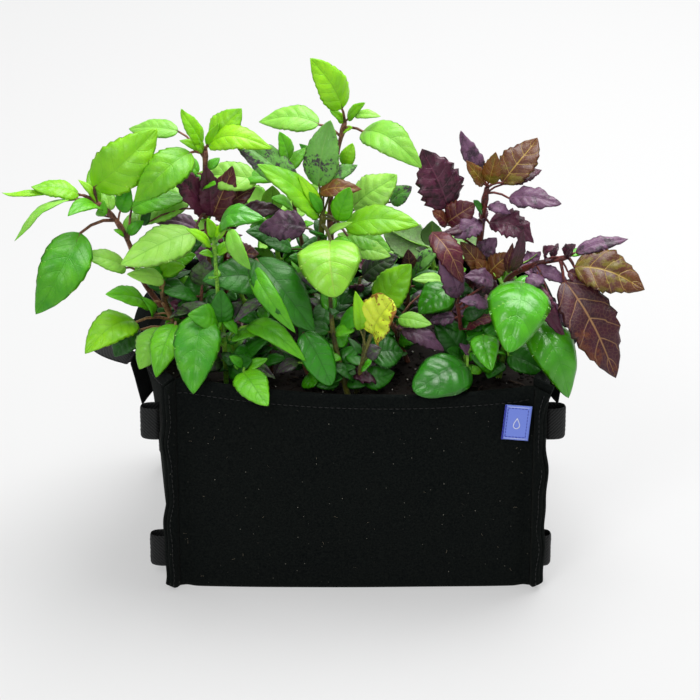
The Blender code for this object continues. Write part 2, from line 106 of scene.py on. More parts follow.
def new_material(name: str, **constants: Any) -> tuple[bpy.types.Material, bpy.types.Node]:
    """Make a Principled material with its constant sockets set.

    Args:
        name: The material's name.
        constants: Socket names, with _ for a space, and their values.

    Returns:
        The material and its Principled node.
    """
    material = bpy.data.materials.new(name)
    material.use_nodes = True
    shader = material.node_tree.nodes["Principled BSDF"]
    for key, value in constants.items():
        shader.inputs[key.replace("_", " ")].default_value = value
    return material, shader


def per_mm(size: float) -> float:
    """The texture scale whose cells measure about size millimetres."""
    return 1.0 / (size * MM)


# Mesh drafting ---------------------------------------------------------------------------

class Draft:
    """Points and faces gathered for one piece, with a UV place, tone and underside per point."""

    def __init__(self) -> None:
        """Start empty."""
        self.points: list[np.ndarray] = []
        self.uvs: list[np.ndarray] = []
        self.tones: list[np.ndarray] = []
        self.unders: list[np.ndarray] = []
        self.faces: list[tuple[int, ...]] = []
        self.slots: list[int] = []
        self.count = 0

    def add(self, points: np.ndarray, faces: Sequence[Sequence[int]], uvs: Optional[np.ndarray] = None,
            tone: float = 0.5, under: Any = 0.0, slot: int = 0) -> None:
        """Add a patch of points and faces.

        Args:
            points: Places in metres, one row each.
            faces: Indices into points, counted from 0; an index repeated in a face is dropped.
            uvs: A UV for each point.
            tone: The patch's own tint from 0 to 1.
            under: 1 where a point is on a leaf's underside.
            slot: The material slot.
        """
        size = len(points)
        self.points.append(np.asarray(points, float))
        self.uvs.append(np.zeros((size, 2)) if uvs is None else np.asarray(uvs, float))
        self.tones.append(np.full(size, tone))
        self.unders.append(np.broadcast_to(np.asarray(under, float), (size,)))
        for face in faces:
            kept = tuple(dict.fromkeys(face))
            if len(kept) > 2:
                self.faces.append(tuple(self.count + i for i in kept))
                self.slots.append(slot)
        self.count += size

    def tube(self, path: Sequence[Sequence[float]], radii: Sequence[float], sides: int = 7,
             tone: float = 0.5, slot: int = 0, uv: Optional[tuple[float, float]] = None,
             square: float = 0.0) -> None:
        """Add a capped tube along a path.

        Args:
            path: Points in metres.
            radii: The radius at each point.
            sides: Corners of its section.
            tone: The tube's tint.
            slot: The material slot.
            uv: One UV for the whole tube, or None for round and along in metres.
            square: How four-sided the section is, from 0.
        """
        line = np.asarray(path, float)
        tangents = np.gradient(line, axis=0)
        tangents /= np.maximum(np.linalg.norm(tangents, axis=1, keepdims=True), 1e-9)
        side = np.cross(tangents[0], (0.3, 1.0, 0.2))
        turn = np.arange(sides) * 2 * math.pi / sides
        swell = 1 + square * np.cos(4 * turn)
        runs = run_lengths(line)
        points, uvs = [], []
        for centre, along, radius, run in zip(line, tangents, radii, runs):
            side = side - along * side.dot(along)
            side = side / np.linalg.norm(side)
            other = np.cross(along, side)
            ring = np.outer(np.cos(turn) * swell, side) + np.outer(np.sin(turn) * swell, other)
            points.append(centre + ring * radius)
            uvs.append(np.tile(uv, (sides, 1)) if uv else np.stack([turn, np.full(sides, run)], axis=1))
        faces = [tuple(range(sides))[::-1], tuple(range((len(line) - 1) * sides, len(line) * sides))]
        for row in range(len(line) - 1):
            for k in range(sides):
                low, high = row * sides + k, row * sides + (k + 1) % sides
                faces.append((low, high, high + sides, low + sides))
        self.add(np.concatenate(points), faces, np.concatenate(uvs), tone, 0.0, slot)

    def slab(self, front: np.ndarray, back: np.ndarray, uvs: np.ndarray, tone: float = 0.5,
             slot: int = 0) -> None:
        """Add a closed sheet from its two faces, given as grids of rows, columns and places.

        Args:
            front: The outer face, whose columns run so that column times row points outward.
            back: The inner face, on the same grid.
            uvs: A UV for each place of the grid.
            tone: The sheet's tint.
            slot: The material slot.
        """
        rows, columns = front.shape[:2]
        size = rows * columns
        index = np.arange(size).reshape(rows, columns)
        faces = []
        for r in range(rows - 1):
            for c in range(columns - 1):
                quad = (index[r, c], index[r, c + 1], index[r + 1, c + 1], index[r + 1, c])
                faces.append(tuple(int(i) for i in quad))
                faces.append(tuple(int(i) + size for i in quad[::-1]))
        rim = [*index[0], *index[1:, -1], *index[-1, -2::-1], *index[-2:0:-1, 0]]
        for a, b in zip(rim, rim[1:] + rim[:1]):
            faces.append((int(b), int(a), int(a) + size, int(b) + size))
        flat = uvs.reshape(-1, 2)
        self.add(np.concatenate([front.reshape(-1, 3), back.reshape(-1, 3)]), faces,
                 np.concatenate([flat, flat]), tone, 0.0, slot)

    def lump(self, centre: Sequence[float], size: Sequence[float], dice: random.Random, tone: float,
             slot: int = 0) -> None:
        """Add a rough pebble, from an eight-sided ball split once.

        Args:
            centre: Its middle in metres.
            size: Its three half sizes in metres.
            dice: The piece's own random numbers.
            tone: Its tint.
            slot: The material slot.
        """
        shape = np.array([p * dice.uniform(0.78, 1.15) for p in PEBBLE_POINTS]) * np.asarray(size)
        turned = Matrix.Rotation(dice.uniform(0, 6.28), 3, "Z")
        tipped = Matrix.Rotation(dice.uniform(-0.7, 0.7), 3, "X")
        spin = turned @ tipped
        self.add(shape @ np.array(spin).T + np.asarray(centre), PEBBLE_FACES, None, tone, 0.0, slot)

    def build(self, name: str, materials: Sequence[bpy.types.Material],
              smooth: bool = True) -> bpy.types.Object:
        """Make the object from everything gathered.

        Args:
            name: The piece's name.
            materials: Its material slots, in order.
            smooth: Whether its faces are shaded smooth.

        Returns:
            The new object, linked to the scene.
        """
        mesh = bpy.data.meshes.new(name)
        mesh.from_pydata(np.concatenate(self.points).tolist(), [], self.faces)
        for material in materials:
            mesh.materials.append(material)
        mesh.polygons.foreach_set("material_index", self.slots)
        mesh.polygons.foreach_set("use_smooth", [smooth] * len(mesh.polygons))
        corners = np.empty(len(mesh.loops), np.int32)
        mesh.loops.foreach_get("vertex_index", corners)
        layer = mesh.uv_layers.new(name="UVMap")
        layer.data.foreach_set("uv", np.concatenate(self.uvs)[corners].astype(np.float32).ravel())
        for label, values in (("tone", self.tones), ("under", self.unders)):
            attribute = mesh.attributes.new(label, "FLOAT", "POINT")
            attribute.data.foreach_set("value", np.concatenate(values).astype(np.float32))
        mesh.update()
        piece = bpy.data.objects.new(name, mesh)
        bpy.context.scene.collection.objects.link(piece)
        return piece


def pebble() -> tuple[list[np.ndarray], list[tuple[int, ...]]]:
    """The points and faces of an octahedron split once and blown out to a ball.

    Returns:
        Unit points, and triangles that index them.
    """
    axes = [np.array(p, float) for p in ((1, 0, 0), (-1, 0, 0), (0, 1, 0), (0, -1, 0), (0, 0, 1),
                                         (0, 0, -1))]
    points, halfway, faces = list(axes), {}, []
    for a, b, c in ((0, 2, 4), (2, 1, 4), (1, 3, 4), (3, 0, 4), (2, 0, 5), (1, 2, 5), (3, 1, 5), (0, 3, 5)):
        middles = []
        for pair in ((a, b), (b, c), (c, a)):
            key = tuple(sorted(pair))
            if key not in halfway:
                halfway[key] = len(points)
                middle = points[pair[0]] + points[pair[1]]
                points.append(middle / np.linalg.norm(middle))
            middles.append(halfway[key])
        ab, bc, ca = middles
        faces += [(a, ab, ca), (ab, b, bc), (ca, bc, c), (ab, bc, ca)]
    return points, faces


PEBBLE_POINTS, PEBBLE_FACES = pebble()


def place(piece: bpy.types.Object, slot: str, *nodes: str) -> bpy.types.Object:
    """Make a finished piece ride the part's body, and stand for CAD nodes where it names them.

    Args:
        piece: The object, already in place.
        slot: The record's material slot; not used.
        nodes: CAD nodes that it replaces.

    Returns:
        The piece.
    """
    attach(piece, BODY)
    if nodes:
        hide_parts(*nodes)
    LOG.info("%s: %d faces", piece.name, len(piece.data.polygons))
    return piece


def smooth_path(points: Sequence[Sequence[float]], steps: int) -> np.ndarray:
    """Read a smooth curve through points, evenly by their count.

    Args:
        points: The places that it goes through, in metres.
        steps: Pieces between each two of them.

    Returns:
        The curve's points, one row each.
    """
    knots = [np.asarray(p, float) for p in points]
    knots = [2 * knots[0] - knots[1]] + knots + [2 * knots[-1] - knots[-2]]
    line = []
    for a, b, c, d in zip(knots, knots[1:], knots[2:], knots[3:]):
        for k in range(steps):
            t = k / steps
            line.append(0.5 * (2 * b + (c - a) * t + (2 * a - 5 * b + 4 * c - d) * t * t
                               + (3 * b - a - 3 * c + d) * t ** 3))
    line.append(knots[-2])
    return np.array(line)


def run_lengths(line: np.ndarray) -> np.ndarray:
    """The distance along a line to each of its points, in metres."""
    steps = np.linalg.norm(np.diff(line, axis=0), axis=1)
    return np.concatenate([[0.0], np.cumsum(steps)])


def rough(place_mm: Sequence[float], size: float, seed: float = 0.0) -> float:
    """Smooth noise from -1 to 1 whose bumps are about size millimetres."""
    return noise.noise(Vector(place_mm) / size + Vector((seed, seed * 1.7, seed * 0.3)))


# Studio ----------------------------------------------------------------------------------

@dataclass
class Studio:
    """The plain floor, the soft light and the camera."""

    target: tuple[float, float, float] = (-0.004, 0.0, 0.160)
    elevation: float = math.radians(30)
    distance: float = 3.3
    lens: float = 212.0
    floor_half: float = 9.0
    sky: float = 0.5
    key_energy: float = 52.0

    def floor_material(self) -> bpy.types.Material:
        """White paper on a light table: an even glow that keeps the shadows thin and soft.

        Returns:
            The floor's material.
        """
        material, shader = new_material("backlit_white_paper", Roughness=0.9, Emission_Strength=0.42,
                                        Emission_Color=srgb("#ffffff"))
        tree = material.node_tree
        cloud = add(tree, "TexNoise", {"Scale": 1.3, "Detail": 1.0})
        tint = add(tree, "Mix", {"Factor": cloud, "A": srgb("#959595"), "B": srgb("#999999")},
                   data_type="RGBA")
        tree.links.new(tint.outputs[2], shader.inputs["Base Color"])
        return material

    def build(self) -> None:
        """Lay the floor, hang the lights and set the camera."""
        half = self.floor_half
        draft = Draft()
        corners = np.array([(-half, -half, 0), (half, -half, 0), (half, half, 0), (-half, half, 0)])
        draft.add(corners - np.array((0, 0, 0.2 * MM)), [(0, 1, 2, 3)])
        draft.build("studio_floor", [self.floor_material()])
        world = bpy.data.worlds.new("studio_sky")
        world.use_nodes = True
        sky = world.node_tree.nodes["Background"]
        sky.inputs["Color"].default_value = srgb("#fbfcfd")
        sky.inputs["Strength"].default_value = self.sky
        bpy.context.scene.world = world
        self.softbox("key_softbox", (0.45, 0.6, 1.85), 1.5, self.key_energy)
        self.softbox("front_softbox", (-0.7, -1.5, 1.9), 0.7, self.key_energy * 0.28)
        toward = Vector((0.0, -math.cos(self.elevation), math.sin(self.elevation)))
        lens = bpy.data.cameras.new("studio_camera")
        lens.lens = self.lens
        lens.clip_end = 60.0
        camera = bpy.data.objects.new("studio_camera", lens)
        camera.location = Vector(self.target) + toward * self.distance
        camera.rotation_euler = (math.pi / 2 - self.elevation, 0.0, 0.0)
        bpy.context.scene.collection.objects.link(camera)
        bpy.context.scene.camera = camera
        bpy.context.scene.view_settings.view_transform = "Standard"

    def softbox(self, name: str, spot: tuple[float, float, float], size: float, energy: float) -> None:
        """Hang one square soft light that points at the plants.

        Args:
            name: The light's name.
            spot: Where it hangs, in metres.
            size: Its side in metres.
            energy: Its power in watts.
        """
        lamp = bpy.data.lights.new(name, "AREA")
        lamp.size = size
        lamp.energy = energy
        holder = bpy.data.objects.new(name, lamp)
        holder.location = spot
        holder.rotation_euler = (Vector(self.target) - Vector(spot)).to_track_quat("-Z", "Y").to_euler()
        bpy.context.scene.collection.objects.link(holder)


# Bag -------------------------------------------------------------------------------------

class Swell(NamedTuple):
    """How far a side wall bows out at half height and at its rim, in metres."""

    belly: float
    rim: float


@dataclass
class BagForm:
    """The walls' middle surfaces, which the felt, the webbing and the fill all follow."""

    corner_x: float = 142 * MM
    corner_y: float = 98 * MM
    height: float = 190 * MM
    felt: float = 3 * MM
    front_bulge: float = 8 * MM
    front_sag: float = 13 * MM
    back_rise: float = 6 * MM
    side_dip: float = 4 * MM
    left: Swell = Swell(13 * MM, 34 * MM)
    right: Swell = Swell(7 * MM, 20 * MM)

    @staticmethod
    def crown(share: float) -> float:
        """How far a wall bows along its width: 0 at its corners and 1 in its middle."""
        return 1.0 - share * share

    def face_out(self, share: float, height: float) -> float:
        """How far the front or back wall stands from the middle line at a share of its width."""
        rise = min(height / self.height, 1.0)
        fullness = 0.35 + 0.65 * math.sin(math.pi * rise)
        return self.corner_y + self.front_bulge * self.crown(share) * fullness

    def side_out(self, share: float, height: float, swell: Swell) -> float:
        """How far a side wall stands from the middle line at a share of its width."""
        rise = height / self.height
        foot = swell.belly / 2
        bulge = (foot + (swell.belly - foot) * math.sin(math.pi * min(rise, 1.0))
                 + (swell.rim - foot) * rise ** 4)
        return self.corner_x + bulge * self.crown(share)

    def rim_lift(self, wall: str, share: float) -> float:
        """How far a wall's rim stands above or below the bag's height."""
        held = max(-1.0, min(1.0, share))
        if wall == "front":
            return -self.front_sag * max(0.0, 1.0 - (held - 0.2) ** 2 / 1.2)
        if wall == "back":
            return self.back_rise * self.crown(held)
        return -self.side_dip * self.crown(held)


class FeltFinish:
    """Needle-punched polyester felt: near black and matt, with a short pale fuzz, tiny pressed
    hollows between its fibres and a few stray light fibres caught in it."""

    def material(self) -> bpy.types.Material:
        """Dress the felt.

        Returns:
            Its material.
        """
        material, shader = new_material(
            "black_needle_felt", Roughness=0.96, IOR=1.5, Specular_IOR_Level=0.04,
            Sheen_Weight=0.035, Sheen_Roughness=0.4, Sheen_Tint=srgb("#a8aca4"))
        tree = material.node_tree
        where = add(tree, "TexCoord").outputs["Object"]
        cloud = add(tree, "TexNoise", {"Vector": where, "Scale": per_mm(60), "Detail": 2.0})
        # The fibre clumps are really under 1 mm; they are drawn at 1.6 mm so that they show.
        clump = add(tree, "TexNoise", {"Vector": where, "Scale": per_mm(1.6), "Detail": 3.0,
                                       "Roughness": 0.7})
        shade = add(tree, "Mix", {"Factor": cloud, "A": srgb("#06090b"), "B": srgb("#0d100f")},
                    data_type="RGBA")
        grain = add(tree, "MapRange", {"Value": clump, "From Min": 0.35, "From Max": 0.7})
        shade = add(tree, "Mix", {"Factor": grain, "A": shade.outputs[2], "B": srgb("#171a18")},
                    data_type="RGBA")
        # Light lint is caught about every 15 mm and is half a millimetre wide.
        specks = add(tree, "TexVoronoi", {"Vector": where, "Scale": per_mm(5.0), "Randomness": 1.0})
        spot = add(tree, "MapRange", {"Value": specks.outputs["Distance"], "From Min": 0.085,
                                      "From Max": 0.03})
        pick = add(tree, "SeparateColor", {"Color": specks.outputs["Color"]})
        kept = add(tree, "MapRange", {"Value": pick, "From Min": 0.55, "From Max": 1.0})
        lint = add(tree, "Math", {0: spot, 1: kept}, operation="MULTIPLY")
        final = add(tree, "Mix", {"Factor": lint, "A": shade.outputs[2], "B": srgb("#a9a598")},
                    data_type="RGBA")
        tree.links.new(final.outputs[2], shader.inputs["Base Color"])
        fibres = add(tree, "TexNoise", {"Vector": where, "Scale": per_mm(0.8), "Detail": 2.0})
        height = add(tree, "Math", {0: clump, 1: fibres}, operation="ADD")
        bump = add(tree, "Bump", {"Strength": 0.55, "Distance": 0.5 * MM, "Height": height})
        tree.links.new(bump.outputs[0], shader.inputs["Normal"])
        return material


class ThreadFinish:
    """Bonded polyester sewing thread: black with a small silky lift, so that the rows of
    stitches read as fine dashes on the felt."""

    def material(self) -> bpy.types.Material:
        """Dress the thread.

        Returns:
            Its material.
        """
        material, shader = new_material("black_sewing_thread", Roughness=0.5, IOR=1.5)
        tree = material.node_tree
        where = add(tree, "TexCoord").outputs["Object"]
        ply = add(tree, "TexWave", {"Vector": where, "Scale": per_mm(1.4), "Distortion": 1.0},
                  bands_direction="DIAGONAL")
        tint = add(tree, "Mix", {"Factor": ply.outputs["Fac"], "A": srgb("#060707"), "B": srgb("#101211")},
                   data_type="RGBA")
        tree.links.new(tint.outputs[2], shader.inputs["Base Color"])
        return material


class LintFinish:
    """Stray fibres of dust and felt: pale tan and off-white threads lying on the black."""

    def material(self) -> bpy.types.Material:
        """Dress the loose fibres.

        Returns:
            Their material.
        """
        material, shader = new_material("loose_fibres", Roughness=0.8, IOR=1.5)
        tree = material.node_tree
        tone = add(tree, "Attribute", attribute_name="tone")
        tint = add(tree, "Mix", {"Factor": tone.outputs["Fac"], "A": srgb("#1a1b1a"), "B": srgb("#8f8470")},
                   data_type="RGBA")
        tree.links.new(tint.outputs[2], shader.inputs["Base Color"])
        return material


@dataclass
class FeltBag:
    """Five felt panels with turned hems, sewn corner flanges and rows of stitches."""

    form: BagForm
    flange_length: float = 10 * MM
    flange_angle: float = math.radians(54)
    layer_gap: float = 0.3 * MM
    hem_depth: float = 15 * MM
    hem_extra: float = 2.4 * MM
    hem_stitch: float = 11.5 * MM
    stitch_length: float = 3.6 * MM
    stitch_pitch: float = 4.6 * MM
    thread: float = 0.34 * MM
    columns: int = 84
    rows: int = 62

    def seam_wave(self, height: float, corner: float) -> float:
        """How far a sewn corner wanders sideways at a height, in metres."""
        z = height / MM
        return (1.5 * math.sin(z / 12.0 + corner) + 0.8 * math.sin(z / 5.8 + 2.3 * corner)) * MM

    def seam_reach(self, height: float, corner: float) -> float:
        """How far a sewn corner stands out at a height, in metres."""
        z = height / MM
        flare = 2.6 * math.exp(-(z / 14.0) ** 2) * (1 if corner < 1 else 0.2)
        spread = 4.5 * math.exp(-((z - 190) / 9.0) ** 2) * (1 if 1 < corner < 3 else 0.3)
        nip = 4.5 * math.exp(-(z / 3.2) ** 2)
        return self.flange_length + (0.9 * math.sin(z / 21.0 + 2 * corner) + flare + spread - nip) * MM

    def wall_line(self, wall: str, height: float) -> np.ndarray:
        """The middle line of one wall's felt in plan, tip to tip, seen from outside left to right.

        Args:
            wall: front, back, left or right.
            height: The height in metres.

        Returns:
            Points in plan, with z at 0.
        """
        form = self.form
        outward = np.array((math.cos(self.flange_angle), -math.sin(self.flange_angle)))
        across = np.array((outward[1], -outward[0]))
        face = wall in ("front", "back")
        layer = (form.felt + self.layer_gap) / 2 * (1 if face else -1)
        swell = form.left if wall == "left" else form.right
        number = {"front": 0, "right": 1, "back": 2, "left": 3}[wall]
        shares = np.array((1.0, 0.97, 0.85, 0.68, 0.5, 0.34, 0.2))
        root = 1.5 * MM
        ends = []
        for end in (-1, 1):
            # Each wall is drawn as the front or the right one, then turned half round if needed.
            corner = 1.9 * ((number + (1 if end > 0 else 0)) % 4)
            run = root + shares * (self.seam_reach(height, corner) - root)
            side = layer + self.seam_wave(height, corner) * shares ** 1.5
            points = np.array((form.corner_x, -form.corner_y)) + np.outer(run, outward)
            points = points + np.outer(side, across)
            if face and end < 0:
                points = points * np.array((-1.0, 1.0))
            if not face and end > 0:
                points = points * np.array((1.0, -1.0))
            ends.append(points)
        middle = []
        for i in range(self.columns + 1):
            turn = math.pi / 2 * (2 * i / self.columns - 1) * 0.97
            share = math.sin(turn) / math.sin(math.pi / 2 * 0.97) * 0.985
            inset = self.pucker(share, height, form.corner_x if face else form.corner_y)
            if face:
                middle.append((form.corner_x * share, -form.face_out(share, height) + inset))
            else:
                middle.append((form.side_out(share, height, swell) - inset, form.corner_y * share))
        line = np.concatenate([ends[0], np.array(middle), ends[1][::-1]])
        if wall in ("back", "left"):
            line = -line
        return np.concatenate([line, np.zeros((len(line), 1))], axis=1)

    def outward(self, line: np.ndarray) -> np.ndarray:
        """The level direction that each point of a wall's line faces."""
        along = np.gradient(line, axis=0)
        along /= np.linalg.norm(along, axis=1, keepdims=True)
        return np.stack([along[:, 1], -along[:, 0], np.zeros(len(line))], axis=1)

    def shares(self, wall: str, line: np.ndarray) -> np.ndarray:
        """How far along its wall each point lies, from -1 to 1 between the corners."""
        if wall in ("front", "back"):
            return line[..., 0] / self.form.corner_x
        return line[..., 1] / self.form.corner_y

    def pucker(self, share: float, height: float, half: float) -> float:
        """How far the felt is drawn in beside a seam, with small puckers, in metres."""
        off = (1.0 - abs(share)) * half / MM
        z = height / MM
        groove = 1.7 * math.exp(-((off - 8.0) / 5.0) ** 2)
        ripple = 0.55 * math.sin(z / 5.4 + 3 * share) * math.exp(-off / 16.0)
        slack = 0.9 * rough((share * 90, 0, z), 55.0, half * 40) * (1 - share ** 8)
        return (groove + ripple + slack) * MM

    def panel(self, wall: str, material: bpy.types.Material) -> bpy.types.Object:
        """Build one wall.

        Args:
            wall: front, back, left or right.
            material: The felt.

        Returns:
            The panel.
        """
        form = self.form
        top = 3.2 * MM
        body = list(np.linspace(0.0, 1.0, self.rows)[:-1] * (form.height - self.hem_depth - 1 * MM))
        fold = form.height - self.hem_depth
        hem = [fold + d * MM for d in (-1.0, -0.4, 0.3, 1.2, 3.4, 3.5, 6.0, 8.5, 11.0)]
        heights = [(h, 1.0) for h in body] + [(h, 1.0) for h in sorted(set(hem))]
        heights = [(h, s) for h, s in heights if h < form.height - top]
        for angle in (0, 20, 40, 58, 74, 86):
            turn = math.radians(angle)
            heights.append((form.height - top + top * math.sin(turn), math.cos(turn)))
        foot = 1.4 * MM
        front, back, uvs = [], [], []
        for height, scale in heights:
            if height < foot:
                scale = 0.55 + 0.45 * height / foot
            line = self.wall_line(wall, height)
            out = self.outward(line)
            count = len(line)
            half = form.corner_x if wall in ("front", "back") else form.corner_y
            shares = self.shares(wall, line)
            lifted = np.array([height * (1 + form.rim_lift(wall, s) / form.height) for s in shares])
            wavy = np.array([0.7 * rough((s * 120, 0, 0), 34.0, half * 70) for s in shares])
            lifted += wavy * MM * (height / form.height) ** 6
            order = np.arange(count)
            near_tip = np.clip(1 - np.minimum(order, count - 1 - order) / 6, 0, 1) ** 1.5
            lifted += 3.2 * MM * near_tip * math.exp(-height / (7 * MM))
            tuck = 1 / (1 + math.exp(-(height - (form.height - self.hem_depth)) / (0.35 * MM)))
            inner_mask = np.clip((order - 7) / 3, 0, 1) * np.clip((count - 8 - order) / 3, 0, 1)
            extra = self.hem_extra * tuck * inner_mask
            stitched = form.height - self.hem_stitch
            dent = 0.55 * MM * math.exp(-((height - stitched) / (1.1 * MM)) ** 2) * inner_mask
            thick = (form.felt + extra) * scale
            centre = line - out * (extra / 2)[:, None]
            outer = centre + out * (thick / 2 - dent)[:, None]
            inner = centre - out * (thick / 2 - dent)[:, None]
            for grid, face in ((front, outer), (back, inner)):
                row = face.copy()
                row[:, 2] = lifted
                grid.append(row)
            runs = run_lengths(line)
            uvs.append(np.stack([runs, np.full(count, height)], axis=1))
        draft = Draft()
        draft.slab(np.array(front), np.array(back), np.array(uvs))
        node = {"front": "front_panel", "back": "back_panel", "left": "left_side_panel",
                "right": "right_side_panel"}[wall]
        return place(draft.build(f"{wall}_felt", [material]), "felt", node)

    def base(self, material: bpy.types.Material) -> bpy.types.Object:
        """Build the base panel, which lies flat inside the walls."""
        low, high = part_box("base_panel")
        xs, ys = np.linspace(low.x, high.x, 40), np.linspace(low.y, high.y, 28)
        top = np.array([[(x, y, high.z + 0.12 * MM * rough((x / MM, y / MM, 0), 30.0)) for x in xs]
                        for y in ys])
        bottom = np.array([[(x, y, low.z) for x in xs] for y in ys])
        draft = Draft()
        draft.slab(top, bottom, top[:, :, :2])
        return place(draft.build("base_felt", [material]), "felt", "base_panel")

    def stitch_row(self, draft: Draft, spots: Sequence[np.ndarray], outs: Sequence[np.ndarray]) -> None:
        """Sew a row of raised stitches along a run of places.

        Args:
            draft: The draft that takes the stitches.
            spots: Places on the felt's surface, close together.
            outs: The outward direction at each.
        """
        line = np.array(spots)
        runs = run_lengths(line)
        stitches = int(runs[-1] // self.stitch_pitch)
        for number in range(stitches):
            begin = (number + 0.15) * self.stitch_pitch
            path, radii = [], []
            for step in range(5):
                share = step / 4
                at = begin + share * self.stitch_length
                spot = np.array([np.interp(at, runs, line[:, k]) for k in range(3)])
                out = np.array([np.interp(at, runs, np.array(outs)[:, k]) for k in range(3)])
                path.append(spot + out * self.thread * (1.2 * math.sin(math.pi * share) - 0.5))
                radii.append(self.thread * (0.75 + 0.25 * math.sin(math.pi * share)))
            draft.tube(path, radii, sides=5, tone=0.4)

    def stitches(self) -> None:
        """Sew the hems and the corner flanges."""
        material = ThreadFinish().material()
        form = self.form
        stitched = form.height - self.hem_stitch
        hems, seams = Draft(), Draft()
        for wall in ("front", "back", "left", "right"):
            line = self.wall_line(wall, stitched)
            out = self.outward(line)
            spots = line + out * (form.felt / 2 - 0.45 * MM)
            spots[:, 2] = [stitched * (1 + form.rim_lift(wall, s) / form.height)
                           for s in self.shares(wall, line)]
            self.stitch_row(hems, spots[9:-9], out[9:-9])
        for wall in ("front", "back"):
            for end in (2, -3):
                spots, outs = [], []
                for z in np.linspace(4, 183, 90):
                    line = self.wall_line(wall, z * MM)
                    along = line[end + 1] - line[end - 1]
                    out = np.array((along[1], -along[0], 0.0)) / np.linalg.norm(along)
                    spot = line[end] + out * (form.felt / 2 + 0.05 * MM)
                    spots.append(spot + np.array((0, 0, z * MM)))
                    outs.append(out)
                self.stitch_row(seams, spots, outs)
        place(hems.build("hem_stitches", [material]), "felt")
        place(seams.build("corner_stitches", [material]), "felt")

    def lint(self) -> None:
        """Scatter short stray fibres over the outer faces."""
        dice = random.Random("lint")
        draft = Draft()
        for _ in range(110):
            wall = dice.choice(("front", "front", "back", "left", "right"))
            height = dice.uniform(6, 186) * MM
            line = self.wall_line(wall, height)
            pick = dice.randrange(10, len(line) - 10)
            along = line[pick + 1] - line[pick - 1]
            along /= np.linalg.norm(along)
            out = np.array((along[1], -along[0], 0.0))
            share = self.shares(wall, line[pick])
            spot = line[pick] + out * (self.form.felt / 2 + 0.05 * MM)
            spot[2] = height * (1 + self.form.rim_lift(wall, share) / self.form.height)
            turn = dice.uniform(0, math.pi)
            run = along * math.cos(turn) + np.array((0, 0, 1.0)) * math.sin(turn)
            length = dice.uniform(0.8, 3.6) * MM
            curl = dice.uniform(-0.5, 0.5)
            path = []
            for step in range(5):
                share = step / 4 - 0.5
                bend = curl * (0.25 - share * share) * length
                lift = 0.35 * MM * (0.5 + math.sin(4 * share + curl * 5) * 0.5)
                path.append(spot + run * share * length + np.cross(out, run) * bend + out * lift)
            draft.tube(path, [0.07 * MM] * 5, sides=4, tone=dice.choice((0.1, 0.3, 0.9, 1.0)))
        place(draft.build("stray_fibres", [LintFinish().material()]), "felt")

    def build(self) -> None:
        """Build the whole felt bag."""
        material = FeltFinish().material()
        for wall in ("front", "back"):
            self.panel(wall, material)
        for wall in ("left", "right"):
            self.panel(wall, material)
        self.base(material)
        self.stitches()
        self.lint()


# Webbing ---------------------------------------------------------------------------------

class WebbingFinish:
    """Woven polyester webbing: black yarn in raised slanting ribs, with a dull satin lift on the
    crown of each rib that is a painted highlight."""

    rib_pitch: float = 1.5

    def material(self) -> bpy.types.Material:
        """Dress the webbing. Its UV is across and along, in metres.

        Returns:
            Its material.
        """
        material, shader = new_material("black_webbing", Roughness=0.62, IOR=1.5, Specular_IOR_Level=0.25,
                                        Sheen_Weight=0.03, Sheen_Roughness=0.4)
        tree = material.node_tree
        place_uv = add(tree, "UVMap", uv_map="UVMap")
        # The real ribs are about 1 mm apart; they are drawn at rib_pitch so that they show.
        ribs = add(tree, "TexWave", {"Vector": place_uv, "Scale": per_mm(self.rib_pitch) / 6.283 * 2,
                                     "Distortion": 0.8, "Detail": 1.0, "Detail Scale": 2.0},
                   bands_direction="DIAGONAL")
        yarn = add(tree, "TexNoise", {"Vector": place_uv, "Scale": per_mm(0.9), "Detail": 1.0})
        mixed = add(tree, "Math", {0: ribs.outputs["Fac"], 1: yarn}, operation="MULTIPLY")
        # The lighter grey on the rib crowns is a painted highlight; the yarn noise varies it at random.
        tint = add(tree, "Mix", {"Factor": mixed, "A": srgb("#060707"), "B": srgb("#323434")},
                   data_type="RGBA")
        tree.links.new(tint.outputs[2], shader.inputs["Base Color"])
        bump = add(tree, "Bump", {"Strength": 0.8, "Distance": 0.5 * MM, "Height": mixed})
        tree.links.new(bump.outputs[0], shader.inputs["Normal"])
        return material


